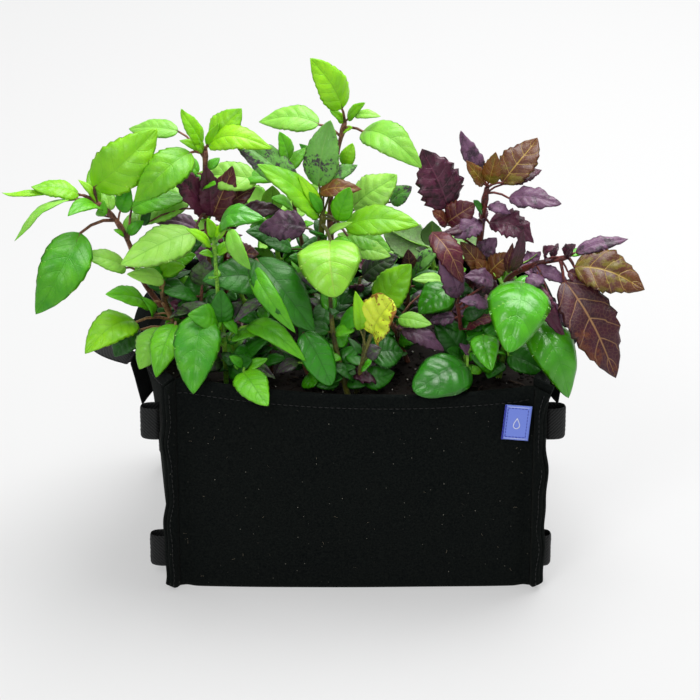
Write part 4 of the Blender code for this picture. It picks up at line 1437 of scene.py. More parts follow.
@dataclass
class LeafMaker:
    """Builds leaves as thin closed blades, each with a stalk and a raised midrib."""

    half_thick: float = 0.22 * MM
    facing: tuple[float, float, float] = (0.0, -0.5, 0.866)

    def profile(self, form: LeafForm, t: np.ndarray) -> np.ndarray:
        """The blade's half width along its length, as a share of its widest half width.

        Args:
            form: The blade's form.
            t: Shares of the blade's length.

        Returns:
            A share for each.
        """
        a, b = form.base_power, form.tip_power
        peak = a / (a + b)
        shape = (t / peak) ** a * ((1 - t) / (1 - peak)) ** b
        if form.teeth:
            saw = np.mod(t * form.teeth, 1.0)
            tooth = np.where(saw < 0.78, saw / 0.78, (1 - saw) / 0.22)
            fade = np.sin(math.pi * np.clip(t, 0, 1)) ** 0.3
            shape = shape * (1 + form.tooth_depth * (tooth - 0.6) * fade)
        return shape

    def add(self, draft: Draft, stem_end: np.ndarray, leaf: Leaf, slot: int, stalk_slot: int,
            dice: random.Random) -> None:
        """Build one leaf into a draft.

        Args:
            draft: The draft that takes it.
            stem_end: The point on the stem that it grows from, in metres.
            leaf: Its recipe.
            slot: The blade's material slot.
            stalk_slot: The stalk's material slot.
            dice: The plant's own random numbers.
        """
        form = leaf.kind.form
        tip = np.array(leaf.tip) * MM
        straight = tip - stem_end
        if leaf.foot:
            foot = np.array(leaf.foot) * MM
        else:
            foot = stem_end + straight * 0.13
        chord = tip - foot
        length = float(np.linalg.norm(chord))
        along = Vector(chord / length)
        facing = Vector(self.facing)
        facing = (facing - along * facing.dot(along)).normalized()
        facing.rotate(Matrix.Rotation(math.radians(leaf.roll + dice.uniform(-7, 7)), 3, along))
        across = np.array(along.cross(facing))
        up = np.array(facing)
        half = leaf.width * MM / 2
        rows = int(min(36, 14 + leaf.width * 0.7))
        columns = 14 if leaf.width > 15 else 8
        t = np.linspace(0.0, 1.0, rows + 1)
        u = np.linspace(-1.0, 1.0, columns + 1)
        bend = dice.uniform(-0.05, 0.05) * length
        droop = dice.uniform(0.02, 0.06) * length
        rise = 4 * t * (1 - t) * leaf.arch * length - droop * np.sin(math.pi * t ** 3)
        middle = foot + np.outer(t, chord) + np.outer(rise, up) + np.outer(4 * t * (1 - t) * bend, across)
        tangent = np.gradient(middle, axis=0)
        tangent /= np.linalg.norm(tangent, axis=1, keepdims=True)
        side = across - tangent * (tangent @ across)[:, None]
        side /= np.linalg.norm(side, axis=1, keepdims=True)
        lift = np.cross(side, tangent)
        spread = self.profile(form, t) * half
        grid_u, grid_t = np.meshgrid(u, t)
        width = spread[:, None] * grid_u
        size = np.abs(grid_u)
        finish = leaf.kind.finish
        phase = (grid_t - finish.slant * size ** 1.25) * finish.pairs
        pillow = np.abs(np.sin(math.pi * phase)) ** 0.7 * np.clip(size * 5, 0, 1)
        pillow = pillow * np.clip((1.06 - size) * 4, 0, 1)
        flutter = dice.uniform(0, 6.28)
        sway = np.sin(form.ruffle_turns * 2 * math.pi * grid_t + flutter + np.sign(grid_u) * 1.1)
        cup = form.cup + leaf.cup + dice.uniform(-0.08, 0.08)
        height = spread[:, None] * (form.fold * size + cup * size ** 2)
        height += half * form.quilt * pillow * np.sin(math.pi * np.clip(grid_t, 0, 1)) ** 0.4
        height += half * form.ruffle * sway * size ** 3 * np.sin(math.pi * grid_t) ** 0.5
        surface = middle[:, None, :] + side[:, None, :] * width[..., None]
        surface = surface + lift[:, None, :] * height[..., None]
        normal = lift[:, None, :] * np.ones_like(width)[..., None]
        body = np.clip((1 - size) * 6, 0, 1) * np.clip(grid_t * 12, 0, 1) * np.clip((1 - grid_t) * 12, 0, 1)
        half_thick = self.half_thick * body[..., None]
        self.blade(draft, surface + normal * half_thick, surface - normal * half_thick, grid_u, grid_t,
                   slot, dice.uniform(0.15, 0.85))
        self.stalk(draft, stem_end, foot, middle, lift, leaf, stalk_slot)

    def blade(self, draft: Draft, top: np.ndarray, bottom: np.ndarray, grid_u: np.ndarray,
              grid_t: np.ndarray, slot: int, tone: float) -> None:
        """Close a blade's two faces into one thin shell that shares its edge.

        Args:
            draft: The draft that takes it.
            top: The upper face's grid.
            bottom: The underside's grid.
            grid_u: The share across at each place, from -1 to 1.
            grid_t: The share along at each place.
            slot: The material slot.
            tone: The leaf's own tint.
        """
        rows, columns = top.shape[:2]
        upper = np.arange(rows * columns).reshape(rows, columns)
        upper[0, :], upper[-1, :] = upper[0, 0], upper[-1, 0]
        lower = upper.copy()
        lower[1:-1, 1:-1] += rows * columns
        faces = []
        for r in range(rows - 1):
            for c in range(columns - 1):
                faces.append((int(upper[r, c]), int(upper[r, c + 1]), int(upper[r + 1, c + 1]),
                              int(upper[r + 1, c])))
                faces.append((int(lower[r + 1, c]), int(lower[r + 1, c + 1]), int(lower[r, c + 1]),
                              int(lower[r, c])))
        uv = np.stack([(grid_u + 1) / 2, grid_t], axis=-1).reshape(-1, 2)
        points = np.concatenate([top.reshape(-1, 3), bottom.reshape(-1, 3)])
        used = sorted({i for face in faces for i in face})
        renumber = {old: new for new, old in enumerate(used)}
        faces = [tuple(renumber[i] for i in face) for face in faces]
        under = np.concatenate([np.zeros(rows * columns), np.ones(rows * columns)])
        draft.add(points[used], faces, np.concatenate([uv, uv])[used], tone, under[used], slot)

    def stalk(self, draft: Draft, stem_end: np.ndarray, foot: np.ndarray, middle: np.ndarray,
              lift: np.ndarray, leaf: Leaf, slot: int) -> None:
        """Add the stalk and the midrib that stands proud under the blade.

        Args:
            draft: The draft that takes it.
            stem_end: Where the stalk leaves its stem.
            foot: The blade's lower end.
            middle: The blade's middle line.
            lift: The upward direction at each point of it.
            leaf: The leaf's recipe.
            slot: The material slot.
        """
        thick = (0.62 + leaf.width * 0.018) * MM
        run = foot - stem_end
        start = [stem_end + run * s + np.array((0, 0, 1))
                 * np.linalg.norm(run) * 0.12 * math.sin(math.pi * s)
                 for s in (0.0, 0.35, 0.7)]
        last = len(middle) - 1
        shares = (0.0, 0.1, 0.22, 0.36, 0.54, 0.7, 0.86)
        picks = [round(share * last) for share in shares]
        rib = [middle[i] - lift[i] * thick * 0.5 for i in picks]
        radii = [thick * 1.15, thick, thick * 0.95] + [thick * (0.9 - 0.85 * share) for share in shares]
        draft.tube(start + rib, radii, sides=6, slot=slot, tone=0.6)


# Plants ----------------------------------------------------------------------------------

@dataclass(frozen=True)
class StemFinish:
    """Soft basil stem: a smooth, faintly hairy skin that reddens or browns with age."""

    name: str
    low: str
    high: str

    def material(self) -> bpy.types.Material:
        """Dress the stems and stalks.

        Returns:
            Their material.
        """
        material, shader = new_material(self.name, Roughness=0.45, IOR=1.42, Subsurface_Weight=0.15,
                                        Subsurface_Radius=(1.0, 0.8, 0.3), Subsurface_Scale=1.0 * MM,
                                        Sheen_Weight=0.1)
        tree = material.node_tree
        where = add(tree, "TexCoord").outputs["Object"]
        cloud = add(tree, "TexNoise", {"Vector": where, "Scale": per_mm(11), "Detail": 2.0})
        streak = add(tree, "TexNoise", {"Vector": where, "Scale": per_mm(1.6), "Detail": 2.0})
        both = add(tree, "Math", {0: cloud, 1: streak}, operation="ADD")
        blend = add(tree, "MapRange", {"Value": both, "From Min": 0.75, "From Max": 1.25})
        tint = add(tree, "Mix", {"Factor": blend, "A": srgb(self.low), "B": srgb(self.high)},
                   data_type="RGBA")
        tree.links.new(tint.outputs[2], shader.inputs["Base Color"])
        bump = add(tree, "Bump", {"Strength": 0.35, "Distance": 0.3 * MM, "Height": streak})
        tree.links.new(bump.outputs[0], shader.inputs["Normal"])
        return material


class StemKind(Enum):
    """The stems' colours."""

    ROSY = StemFinish("rosy_basil_stem", "#40201a", "#94604c")
    TAN = StemFinish("tan_basil_stem", "#6e4a2a", "#b98f62")
    GREEN = StemFinish("green_basil_stem", "#4c8c1c", "#93c83c")
    OLIVE = StemFinish("olive_basil_stem", "#2e2a0c", "#6a6a22")
    WINE = StemFinish("wine_basil_stem", "#2c0c0a", "#7c3028")


class Sprig(NamedTuple):
    """One stem of a plant: its points and radius in mm, with its leaves and its filling leaves.

    tufts are shares along the stem where a pair of small leaves sits in the crook.
    """

    stem: tuple[tuple[float, float, float], ...]
    radius: float
    leaves: tuple[Leaf, ...]
    tufts: tuple[float, ...] = ()
    tuft_kind: LeafKind = LeafKind.FRESH


class Plant(NamedTuple):
    """One rooted shoot: its CAD node, its record slot, its stem colour and its sprigs."""

    node: str
    slot: str
    stem: StemKind
    sprigs: tuple[Sprig, ...]


K = LeafKind
PLANTS: tuple[Plant, ...] = (
    Plant("left_sweet_basil_shoot", "sweet_basil", StemKind.ROSY, (
        Sprig(((-134, 4, 158), (-150, 2, 192), (-168, -4, 226), (-178, -8, 262), (-188, -10, 284),
               (-202, -12, 300)), 2.3, (
            Leaf(K.BRIGHT, 1.0, (-154, 5, 356), 40, 0.16, 25, (-204, -10, 312)),
            Leaf(K.BRIGHT, 1.0, (-252, -20, 318), 24, 0.12, 20, (-215, -14, 308)),
            Leaf(K.BRIGHT, 1.0, (-275, -22, 314), 8, 0.05, 20, (-238, -18, 312)),
            Leaf(K.PALE, 0.94, (-264, -52, 287), 20, 0.16, 45, (-222, -24, 309)),
            Leaf(K.FRESH, 0.86, (-248, -73, 234), 38, 0.22, -10, (-214, -30, 283)),
            Leaf(K.FRESH, 0.84, (-177, -12, 316), 16, 0.05, 0, (-184, -10, 291)),
            Leaf(K.FRESH, 0.9, (-222, -50, 308), 17, 0.2, 10, (-199, -15, 294)),
            Leaf(K.PALE, 0.9, (-199, 10, 303), 13), Leaf(K.BRIGHT, 0.95, (-216, -8, 318), 9, 0.1, 10),
            Leaf(K.BRIGHT, 0.97, (-208, 0, 322), 10, 0.1, -20),
            Leaf(K.FRESH, 0.86, (-196, -14, 303), 9, 0.3, 40, (-201, -14, 289)),
            Leaf(K.FRESH, 0.72, (-132, 14, 292), 26, 0.16, -10, (-176, 4, 286)),
            Leaf(K.PALE, 0.75, (-172, 12, 280), 12),
            Leaf(K.PALE, 0.52, (-214, -34, 268), 20, 0.12, 0, (-180, -18, 245))), (0.55, 0.75)),
    )),
    Plant("left_rim_shoot", "sweet_basil", StemKind.TAN, (
        Sprig(((-128, -14, 158), (-142, -20, 192), (-152, -24, 218)), 1.9, (
            Leaf(K.FRESH, 1.0, (-195, -50, 239), 24, 0.12, 5, (-164, -22, 214)),
            Leaf(K.BRIGHT, 0.7, (-211, -72, 198), 31, 0.2, 0, (-173, -30, 203)),
            Leaf(K.PALE, 0.6, (-169, -72, 184), 30, 0.2, 10, (-150, -46, 206)),
            Leaf(K.FRESH, 0.55, (-155, -90, 187), 26, 0.2, 0, (-141, -48, 211)),
            Leaf(K.SHADE, 0.5, (-190, -42, 178), 26, 0.2, 0, (-170, -30, 196)),
            Leaf(K.PALE, 1.0, (-178, -48, 256), 16, foot=(-150, -32, 242)),
            Leaf(K.BRIGHT, 1.0, (-166, -28, 256), 13, foot=(-156, -22, 243)),
            Leaf(K.BRIGHT, 1.0, (-150, -14, 257), 13, foot=(-154, -20, 243)),
            Leaf(K.BRIGHT, 1.0, (-133, -25, 250), 14, 0.15, 0, (-152, -22, 242)),
            Leaf(K.FRESH, 0.95, (-138, -8, 244), 14, 0.15, 0, (-150, -18, 238)),
            Leaf(K.FRESH, 0.8, (-168, -30, 226), 10, 0.3, 20, (-160, -26, 206))), (0.6,)),
        Sprig(((-132, 0, 158), (-146, -6, 196), (-156, -12, 232)), 1.7, (
            Leaf(K.FRESH, 1.0, (-125, -8, 251), 19, 0.12, 0, (-150, -6, 240)),
            Leaf(K.SHADE, 0.9, (-118, 10, 258), 24, 0.12, 0, (-148, 4, 240)),
            Leaf(K.FRESH, 0.9, (-164, -24, 252), 16, 0.12, 0, (-148, -16, 236))), (0.5, 1.0), K.SHADE),
    )),
    Plant("front_left_shoot", "sweet_basil", StemKind.GREEN, (
        Sprig(((-101, -62, 158), (-103, -60, 211), (-107, -58, 248), (-109, -56, 290)), 1.8, (
            Leaf(K.DEEP, 1.0, (-70, -72, 318), 26, 0.3, -15, (-104, -57, 304)),
            Leaf(K.PALE, 0.97, (-80, -94, 285), 14, 0.3, 30, (-96, -78, 312)),
            Leaf(K.BRIGHT, 0.95, (-130, -70, 308), 12), Leaf(K.BRIGHT, 1.0, (-114, -60, 312), 9),
            Leaf(K.BRIGHT, 1.0, (-98, -62, 310), 9, 0.1, 20), Leaf(K.BRIGHT, 0.9, (-86, -66, 292), 9, 0.2),
            Leaf(K.FRESH, 0.5, (-125, -117, 188), 37, 0.14, 0, (-118, -62, 228)),
            Leaf(K.SHADE, 0.55, (-104, -62, 250), 20, foot=(-104, -62, 219)),
            Leaf(K.FRESH, 0.5, (-92, -66, 212), 10, 0.2), Leaf(K.FRESH, 0.5, (-114, -66, 212), 10, 0.2),
            Leaf(K.GREYED, 0.62, (-136, -50, 230), 12, 0.15, 0, (-110, -58, 226))), (0.42, 0.75, 0.9),
            K.BRIGHT),
        Sprig(((-76, -48, 158), (-78, -50, 184), (-79, -50, 200)), 1.4, (
            Leaf(K.SHADE, 1.0, (-79, -51, 223), 13, 0.05), Leaf(K.FRESH, 0.9, (-60, -45, 206), 14),
            Leaf(K.SHADE, 0.8, (-98, -50, 186), 16)), (0.6,), K.SHADE),
    )),
    Plant("top_left_shoot", "sweet_basil", StemKind.ROSY, (
        Sprig(((-114, 14, 158), (-116, 13, 226), (-118, 10, 286), (-117, 8, 336)), 2.0, (
            Leaf(K.BRIGHT, 1.0, (-135, 4, 374), 17, 0.08, 20),
            Leaf(K.BRIGHT, 1.0, (-64, -14, 348), 24, 0.3, 0, (-114, 4, 342)),
            Leaf(K.BRIGHT, 1.0, (-88, 8, 372), 27, foot=(-112, 4, 346)),
            Leaf(K.BRIGHT, 0.97, (-172, -26, 308), 32, 0.26, -10, (-128, 0, 338)),
            Leaf(K.PALE, 0.95, (-178, 36, 340), 20, 0.12, 0, (-138, 20, 346)),
            Leaf(K.BRIGHT, 0.98, (-137, 4, 346), 9, 0.15), Leaf(K.BRIGHT, 0.98, (-128, 2, 352), 10),
            Leaf(K.BRIGHT, 1.0, (-106, 2, 362), 10),
            Leaf(K.FRESH, 0.86, (-144, 20, 321), 16, 0.15, 0, (-123, 14, 312)),
            Leaf(K.FRESH, 0.9, (-106, 14, 326), 9),
            Leaf(K.PALE, 0.68, (-183, -48, 264), 35, foot=(-126, -18, 277)),
            Leaf(K.PALE, 0.74, (-174, 12, 268), 30, 0.12, 0, (-130, 18, 288)),
            Leaf(K.SHADE, 0.7, (-161, 2, 292), 8, foot=(-167, 2, 272))), (0.5, 0.62, 0.8)),
        Sprig(((-120, -6, 158), (-122, -16, 200), (-121, -20, 226)), 1.6, (
            Leaf(K.GREYED, 1.0, (-118, -16, 252), 22), Leaf(K.GREYED, 0.8, (-130, -36, 214), 18, 0.15),
            Leaf(K.SHADE, 0.9, (-150, -40, 236), 18, 0.12),
            Leaf(K.PURPLE, 0.6, (-146, -22, 216), 24)), (0.5,), K.SHADE),
    )),
    Plant("purple_centre_shoot", "purple_basil", StemKind.WINE, (
        Sprig(((-96, 28, 158), (-102, 27, 190), (-104, 28, 229), (-100, 30, 262)), 2.0, (
            Leaf(K.PURPLE, 1.0, (-153, -2, 330), 24, foot=(-118, 10, 276)),
            Leaf(K.PURPLE, 0.98, (-117, 4, 324), 20, 0.06, 0, (-114, 10, 276)),
            Leaf(K.WINE, 0.95, (-96, 8, 322), 24, foot=(-112, 10, 276)),
            Leaf(K.WINE, 0.95, (-78, 14, 300), 22, 0.12, 0, (-110, 12, 272)),
            Leaf(K.MAUVE, 0.85, (-162, 12, 272), 18, 0.12, 0, (-123, 12, 262)),
            Leaf(K.PURPLE, 0.75, (-56, 12, 280), 16, 0.15, 10, (-93, 6, 278)),
            Leaf(K.WINE, 0.9, (-120, 18, 256), 14),
            Leaf(K.PURPLE, 0.9, (-84, 24, 280), 12)), (0.5, 0.8), K.PURPLE),
    )),
    Plant("top_centre_shoot", "sweet_basil", StemKind.ROSY, (
        Sprig(((-8, 40, 158), (-14, 38, 194), (-20, 35, 259), (-15, 30, 315), (-8, 28, 350)), 2.1, (
            Leaf(K.BRIGHT, 1.0, (-35, 21, 409), 28, 0.08, -10, (-10, 25, 363)),
            Leaf(K.PALE, 0.97, (52, -12, 330), 30, 0.3, 0, (6, 20, 346)),
            Leaf(K.PALE, 0.93, (-76, 44, 342), 27, 0.12, 10, (-28, 34, 345)),
            Leaf(K.BRIGHT, 1.0, (8, 20, 371), 11),
            Leaf(K.PALE, 1.0, (20, 14, 362), 10, 0.15, 0, (0, 24, 358)),
            Leaf(K.BRIGHT, 1.0, (-20, 22, 364), 8), Leaf(K.BRIGHT, 0.95, (-2, 22, 348), 8),
            Leaf(K.BRIGHT, 0.99, (-14, 26, 360), 8),
            Leaf(K.PALE, 0.7, (33, 12, 312), 36, 0.08, 0, (-2, 8, 285)),
            Leaf(K.FRESH, 0.75, (-44, 30, 330), 14),
            Leaf(K.SPECKLED, 0.5, (45, 30, 292), 18, foot=(28, 30, 278)),
            Leaf(K.PALE, 0.45, (28, -25, 264), 24, 0.14, 0, (-6, -18, 274))), (0.55, 0.7), K.BRIGHT),
        Sprig(((-30, 44, 158), (-38, 40, 210), (-50, 20, 290), (-55, 6, 316)), 1.7, (
            Leaf(K.FRESH, 1.0, (-59, 0, 356), 16, 0.1, 15, (-52, 2, 330)),
            Leaf(K.PALE, 0.98, (-126, 24, 306), 27, 0.14, 0, (-76, 12, 307)),
            Leaf(K.FRESH, 0.95, (-106, 16, 298), 14, 0.15), Leaf(K.BRIGHT, 1.0, (-38, 20, 332), 12),
            Leaf(K.FRESH, 0.7, (-66, 10, 292), 14, 0.15)), (0.4, 0.6)),
    )),
    Plant("centre_shoot", "variegated_basil", StemKind.OLIVE, (
        Sprig(((-12, -20, 158), (-18, -22, 186), (-21, -25, 229), (-27, -25, 265), (-25, -25, 296)), 2.8, (
            Leaf(K.SPECKLED, 1.0, (-97, 4, 352), 26, foot=(-46, -14, 316)),
            Leaf(K.BRIGHT, 1.0, (-76, -32, 344), 30, 0.1, 10, (-28, -26, 294)),
            Leaf(K.SPECKLED, 1.0, (-19, -4, 368), 29, 0.06, 0, (-28, -16, 316)),
            Leaf(K.BRIGHT, 0.98, (50, -38, 294), 28, 0.14, 0, (-8, -30, 288)),
            Leaf(K.BROAD, 0.94, (-15, -91, 259), 50, 0.22, 0, (-19, -46, 285)),
            Leaf(K.FRESH, 1.0, (-4, -34, 325), 19, 0.08, 0, (-13, -30, 293)),
            Leaf(K.BRONZE, 1.0, (5, -24, 318), 16, 0.15, 0, (-28, -18, 312)),
            Leaf(K.SPECKLED, 1.0, (2, -8, 331), 14, foot=(-24, -10, 320)),
            Leaf(K.BRIGHT, 1.0, (-2, 2, 345), 13, foot=(-9, 0, 326)),
            Leaf(K.BRIGHT, 1.0, (-44, -22, 330), 12), Leaf(K.FRESH, 1.0, (-36, -28, 318), 10),
            Leaf(K.MAUVE, 0.85, (-76, -14, 277), 27, 0.18, 0, (-38, -20, 282)),
            Leaf(K.SHADE, 0.85, (-32, -46, 292), 15),
            Leaf(K.FRESH, 0.85, (-2, -50, 285), 14, 0.15, 0, (-18, -44, 277)),
            Leaf(K.PALE, 0.85, (-2, -44, 300), 10),
            Leaf(K.SHADE, 0.7, (-72, -6, 262), 18, 0.12, 0, (-50, 0, 252)),
            Leaf(K.PALE, 0.8, (28, -30, 262), 20, foot=(-6, -26, 270))), (0.55, 0.7, 0.85), K.SHADE),
        Sprig(((-4, -80, 158), (-10, -76, 182), (-17, -66, 212), (-20, -50, 246)), 2.3, (
            ), (0.3,), K.SHADE),
        Sprig(((-4, -16, 158), (0, -10, 200), (4, 0, 226)), 1.8, (
            Leaf(K.GREYED, 1.0, (34, 0, 246), 24, 0.12, 0, (6, 0, 227)),
            Leaf(K.SHADE, 0.9, (-26, -10, 240), 20, 0.12), Leaf(K.PURPLE, 0.8, (2, -30, 236), 13),
            Leaf(K.SHADE, 0.7, (18, -28, 214), 20)), (0.5, 0.8), K.SHADE),
    )),
    Plant("centre_dark_shoot", "glossy_basil", StemKind.ROSY, (
        Sprig(((-66, -44, 158), (-70, -46, 205), (-76, -50, 262)), 2.0, (
            Leaf(K.SHADE, 1.0, (-31, -86, 226), 38, 0.16, 0, (-77, -52, 272)),
            Leaf(K.FRESH, 1.0, (-46, -92, 228), 17, 0.26, 25, (-81, -56, 268)),
            Leaf(K.SHADE, 0.9, (-119, -52, 252), 34, 0.12, 0, (-65, -40, 244)),
            Leaf(K.SHADE, 0.8, (-48, -40, 250), 22, 0.12),
            Leaf(K.GREYED, 0.8, (-94, -82, 232), 13, 0.2, 20, (-66, -60, 238))), (0.35, 0.55, 0.75),
            K.SHADE),
        Sprig(((-34, -58, 158), (-40, -66, 186), (-42, -72, 206)), 1.6, (
            Leaf(K.GLOSSY_SHADE, 0.9, (-18, -95, 183), 26, foot=(-40, -80, 222)),
            Leaf(K.GREYED, 0.8, (-70, -70, 214), 16, 0.15), Leaf(K.SHADE, 0.6, (-24, -66, 214), 18),
            Leaf(K.SHADE, 0.4, (-58, -58, 200), 18)), (0.5,), K.SHADE),
    )),
    Plant("arching_leaf_shoot", "sweet_basil", StemKind.GREEN, (
        Sprig(((-84, -52, 158), (-93, -56, 186), (-99, -57, 204)), 1.6, (
            Leaf(K.FRESH, 1.0, (-38, -96, 205), 19, 0.3, 0, (-84, -60, 217)),
            Leaf(K.GREYED, 0.6, (-62, -80, 180), 12, 0.12),
            Leaf(K.SHADE, 0.5, (-66, -60, 206), 16)), (0.4,), K.SHADE),
    )),
    Plant("rim_seedling", "sweet_basil", StemKind.GREEN, (
        Sprig(((-88, -74, 158), (-86, -82, 192)), 1.3, (
            Leaf(K.FRESH, 1.0, (-67, -121, 180), 27, 0.16, 0, (-87, -88, 191)),
            Leaf(K.FRESH, 0.98, (-98, -84, 203), 9), Leaf(K.FRESH, 0.98, (-68, -82, 200), 9)), (0.9,)),
    )),
    Plant("low_front_seedling", "glossy_basil", StemKind.GREEN, (
        Sprig(((-16, -72, 158), (-20, -72, 180)), 1.6, (
            Leaf(K.SHADE, 1.0, (-44, -60, 218), 24),
            Leaf(K.GREYED, 0.9, (-62, -78, 184), 13, 0.15, 0, (-44, -78, 194)),
            Leaf(K.SHADE, 0.8, (4, -60, 200), 18),
            Leaf(K.SHADE, 0.7, (-10, -90, 186), 14)), (0.8,), K.SHADE),
    )),
    Plant("yellow_leaf_shoot", "dying_leaf", StemKind.OLIVE, (
        Sprig(((0, -74, 158), (5, -80, 192), (12, -82, 220)), 1.9, (
            Leaf(K.YELLOW, 1.0, (29, -91, 257), 34, 0.14, 0, (14, -83, 221)),
            Leaf(K.BRIGHT, 0.8, (0, -82, 260), 12, 0.15, 10, (4, -80, 224)),
            Leaf(K.FRESH, 0.6, (-13, -66, 215), 17, 0.15, 0, (9, -68, 235)),
            Leaf(K.SHADE, 0.45, (38, -66, 196), 30, 0.15, 0, (12, -74, 198)),
            Leaf(K.PURPLE, 0.25, (28, -70, 172), 24, 0.2, 0, (-6, -72, 184)))),
    )),
    Plant("middle_right_shoot", "sweet_basil", StemKind.ROSY, (
        Sprig(((44, -26, 158), (34, -34, 190), (26, -40, 214)), 2.0, (
            Leaf(K.BRIGHT, 1.0, (44, -34, 257), 31, 0.08, 0, (18, -36, 219)),
            Leaf(K.PALE, 0.95, (60, -62, 219), 16, foot=(34, -50, 218)),
            Leaf(K.MAUVE, 0.6, (70, -70, 199), 17, 0.2, 0, (36, -58, 212)),
            Leaf(K.SHADE, 0.45, (52, -38, 218), 30, 0.15, 0, (74, -22, 226)),
            Leaf(K.PALE, 0.8, (45, -8, 229), 13, foot=(70, -2, 225)),
            Leaf(K.SHADE, 0.5, (12, -60, 204), 18, 0.15),
            Leaf(K.PURPLE, 0.8, (52, -58, 210), 10)), (0.4, 0.7), K.SHADE),
        Sprig(((38, 4, 158), (42, 6, 200), (44, 6, 226)), 1.6, (
            Leaf(K.WINE, 1.0, (42, 4, 250), 13), Leaf(K.SPECKLED, 1.0, (68, 14, 247), 15),
            Leaf(K.SPECKLED, 0.9, (54, 4, 246), 7),
            Leaf(K.SHADE, 0.8, (20, 10, 232), 22)), (0.5, 0.75), K.SHADE),
    )),
    Plant("broad_leaf_shoot", "glossy_basil", StemKind.GREEN, (
        Sprig(((84, -44, 158), (88, -54, 186)), 1.8, (
            Leaf(K.GLOSSY_SHADE, 1.0, (45, -109, 186), 40, 0.17, 0, (88, -74, 188)),
            Leaf(K.DEEP, 0.9, (106, -98, 198), 23, 0.2, 0, (100, -66, 212)),
            Leaf(K.SHADE, 0.8, (62, -40, 210), 24, 0.12),
            Leaf(K.SHADE, 0.7, (72, -62, 196), 18, 0.12)), (0.9,), K.DEEP),
    )),
    Plant("glossy_right_shoot", "glossy_basil", StemKind.GREEN, (
        Sprig(((112, -54, 158), (118, -50, 196), (126, -46, 236)), 2.2, (
            Leaf(K.DEEP, 1.0, (118, -112, 222), 50, 0.2, 0, (130, -46, 248)),
            Leaf(K.DEEP, 0.95, (167, -84, 165), 36, 0.3, 0, (140, -50, 216)),
            Leaf(K.SHADE, 0.5, (150, -70, 180), 24, 0.15, 0, (120, -60, 190)),
            Leaf(K.SHADE, 0.6, (98, -40, 214), 26, 0.12), Leaf(K.SHADE, 0.4, (142, -40, 196), 26, 0.12),
            Leaf(K.FRESH, 0.95, (152, -62, 222), 22, 0.15, 0, (134, -46, 246)),
            Leaf(K.SHADE, 0.3, (104, -76, 178), 18, 0.12)), (0.35, 0.65), K.DEEP),
    )),
    Plant("purple_tall_shoot", "purple_basil", StemKind.WINE, (
        Sprig(((92, -20, 158), (88, -18, 189), (91, -15, 223), (97, -12, 258), (101, -8, 296),
               (103, -6, 310)), 2.4, (
            Leaf(K.PURPLE, 0.72, (52, 2, 340), 38, 0.06, 0, (73, -6, 292)),
            Leaf(K.WINE, 0.72, (94, -14, 300), 24, 0.1, 30, (72, -10, 281)),
            Leaf(K.WINE, 0.72, (60, -18, 296), 14, foot=(72, -12, 280)),
            Leaf(K.MAUVE, 1.0, (82, 0, 357), 16, 0.06, 0, (100, -4, 318)),
            Leaf(K.BRONZE, 1.0, (86, -14, 338), 14, 0.06),
            Leaf(K.BRONZE, 1.0, (143, 25, 338), 30, 0.08, 0, (115, 0, 311)),
            Leaf(K.BRONZE, 1.0, (109, -15, 346), 16, 0.08),
            Leaf(K.MAUVE, 0.97, (161, -20, 303), 22, 0.12, 0, (120, -8, 302)),
            Leaf(K.PURPLE, 0.97, (147, 20, 312), 14, foot=(122, 4, 308)),
            Leaf(K.MAUVE, 0.9, (122, -12, 290), 12, 0.2),
            Leaf(K.MAUVE, 0.9, (77, -30, 278), 20, 0.2, 0, (98, -15, 285)),
            Leaf(K.SHADE, 0.85, (92, -20, 306), 10),
            Leaf(K.PURPLE, 0.84, (140, -20, 268), 27, 0.22, 0, (105, -10, 281)),
            Leaf(K.WINE, 0.66, (84, -52, 250), 22, 0.3, 0, (60, -28, 282)),
            Leaf(K.BRONZE, 0.5, (82, -26, 273), 17, foot=(100, -30, 247)),
            Leaf(K.BRONZE, 0.5, (94, -34, 262), 15, foot=(104, -32, 244)),
            Leaf(K.BRONZE, 0.55, (122, -36, 268), 20, foot=(104, -32, 246)),
            Leaf(K.MAUVE, 0.6, (111, -20, 273), 18, foot=(98, -20, 252)),
            Leaf(K.PURPLE, 0.8, (66, -34, 284), 10)), (0.45, 0.8), K.PURPLE),
        Sprig(((88, -30, 158), (84, -40, 196), (80, -48, 230)), 1.8, (
            Leaf(K.MAUVE, 1.0, (65, -50, 278), 22, foot=(81, -50, 236)),
            Leaf(K.MAUVE, 0.95, (84, -56, 258), 17, 0.2, 0, (108, -46, 246)),
            Leaf(K.MAUVE, 0.9, (81, -62, 240), 13, 0.2, 0, (104, -56, 232)),
            Leaf(K.DEEP, 0.6, (50, -40, 216), 30, 0.2, 0, (76, -26, 230)),
            Leaf(K.SHADE, 0.5, (106, -40, 222), 22, 0.12)), (0.6,), K.SHADE),
    )),
    Plant("purple_side_shoot", "purple_basil", StemKind.WINE, (
        Sprig(((112, -24, 158), (112, -25, 202), (118, -26, 236), (137, -30, 253), (166, -35, 264)), 2.2, (
            Leaf(K.BRONZE, 1.0, (226, -50, 243), 38, 0.12, 0, (171, -40, 258)),
            Leaf(K.WINE, 0.95, (204, -77, 179), 42, 0.14, 0, (163, -45, 249)),
            Leaf(K.MAUVE, 1.0, (214, -20, 272), 14, foot=(172, -30, 265)),
            Leaf(K.FRESH, 1.0, (184, -20, 262), 8),
            Leaf(K.PURPLE, 0.82, (164, -70, 211), 15, 0.15, 10, (142, -46, 246)),
            Leaf(K.MAUVE, 0.8, (168, -60, 218), 12, 0.2, 40, (152, -56, 236)),
            Leaf(K.MAUVE, 0.8, (132, -56, 244), 15, 0.2, 0, (146, -44, 252)),
            Leaf(K.MAUVE, 0.9, (168, -44, 244), 13, 0.12, 0, (138, -34, 254)),
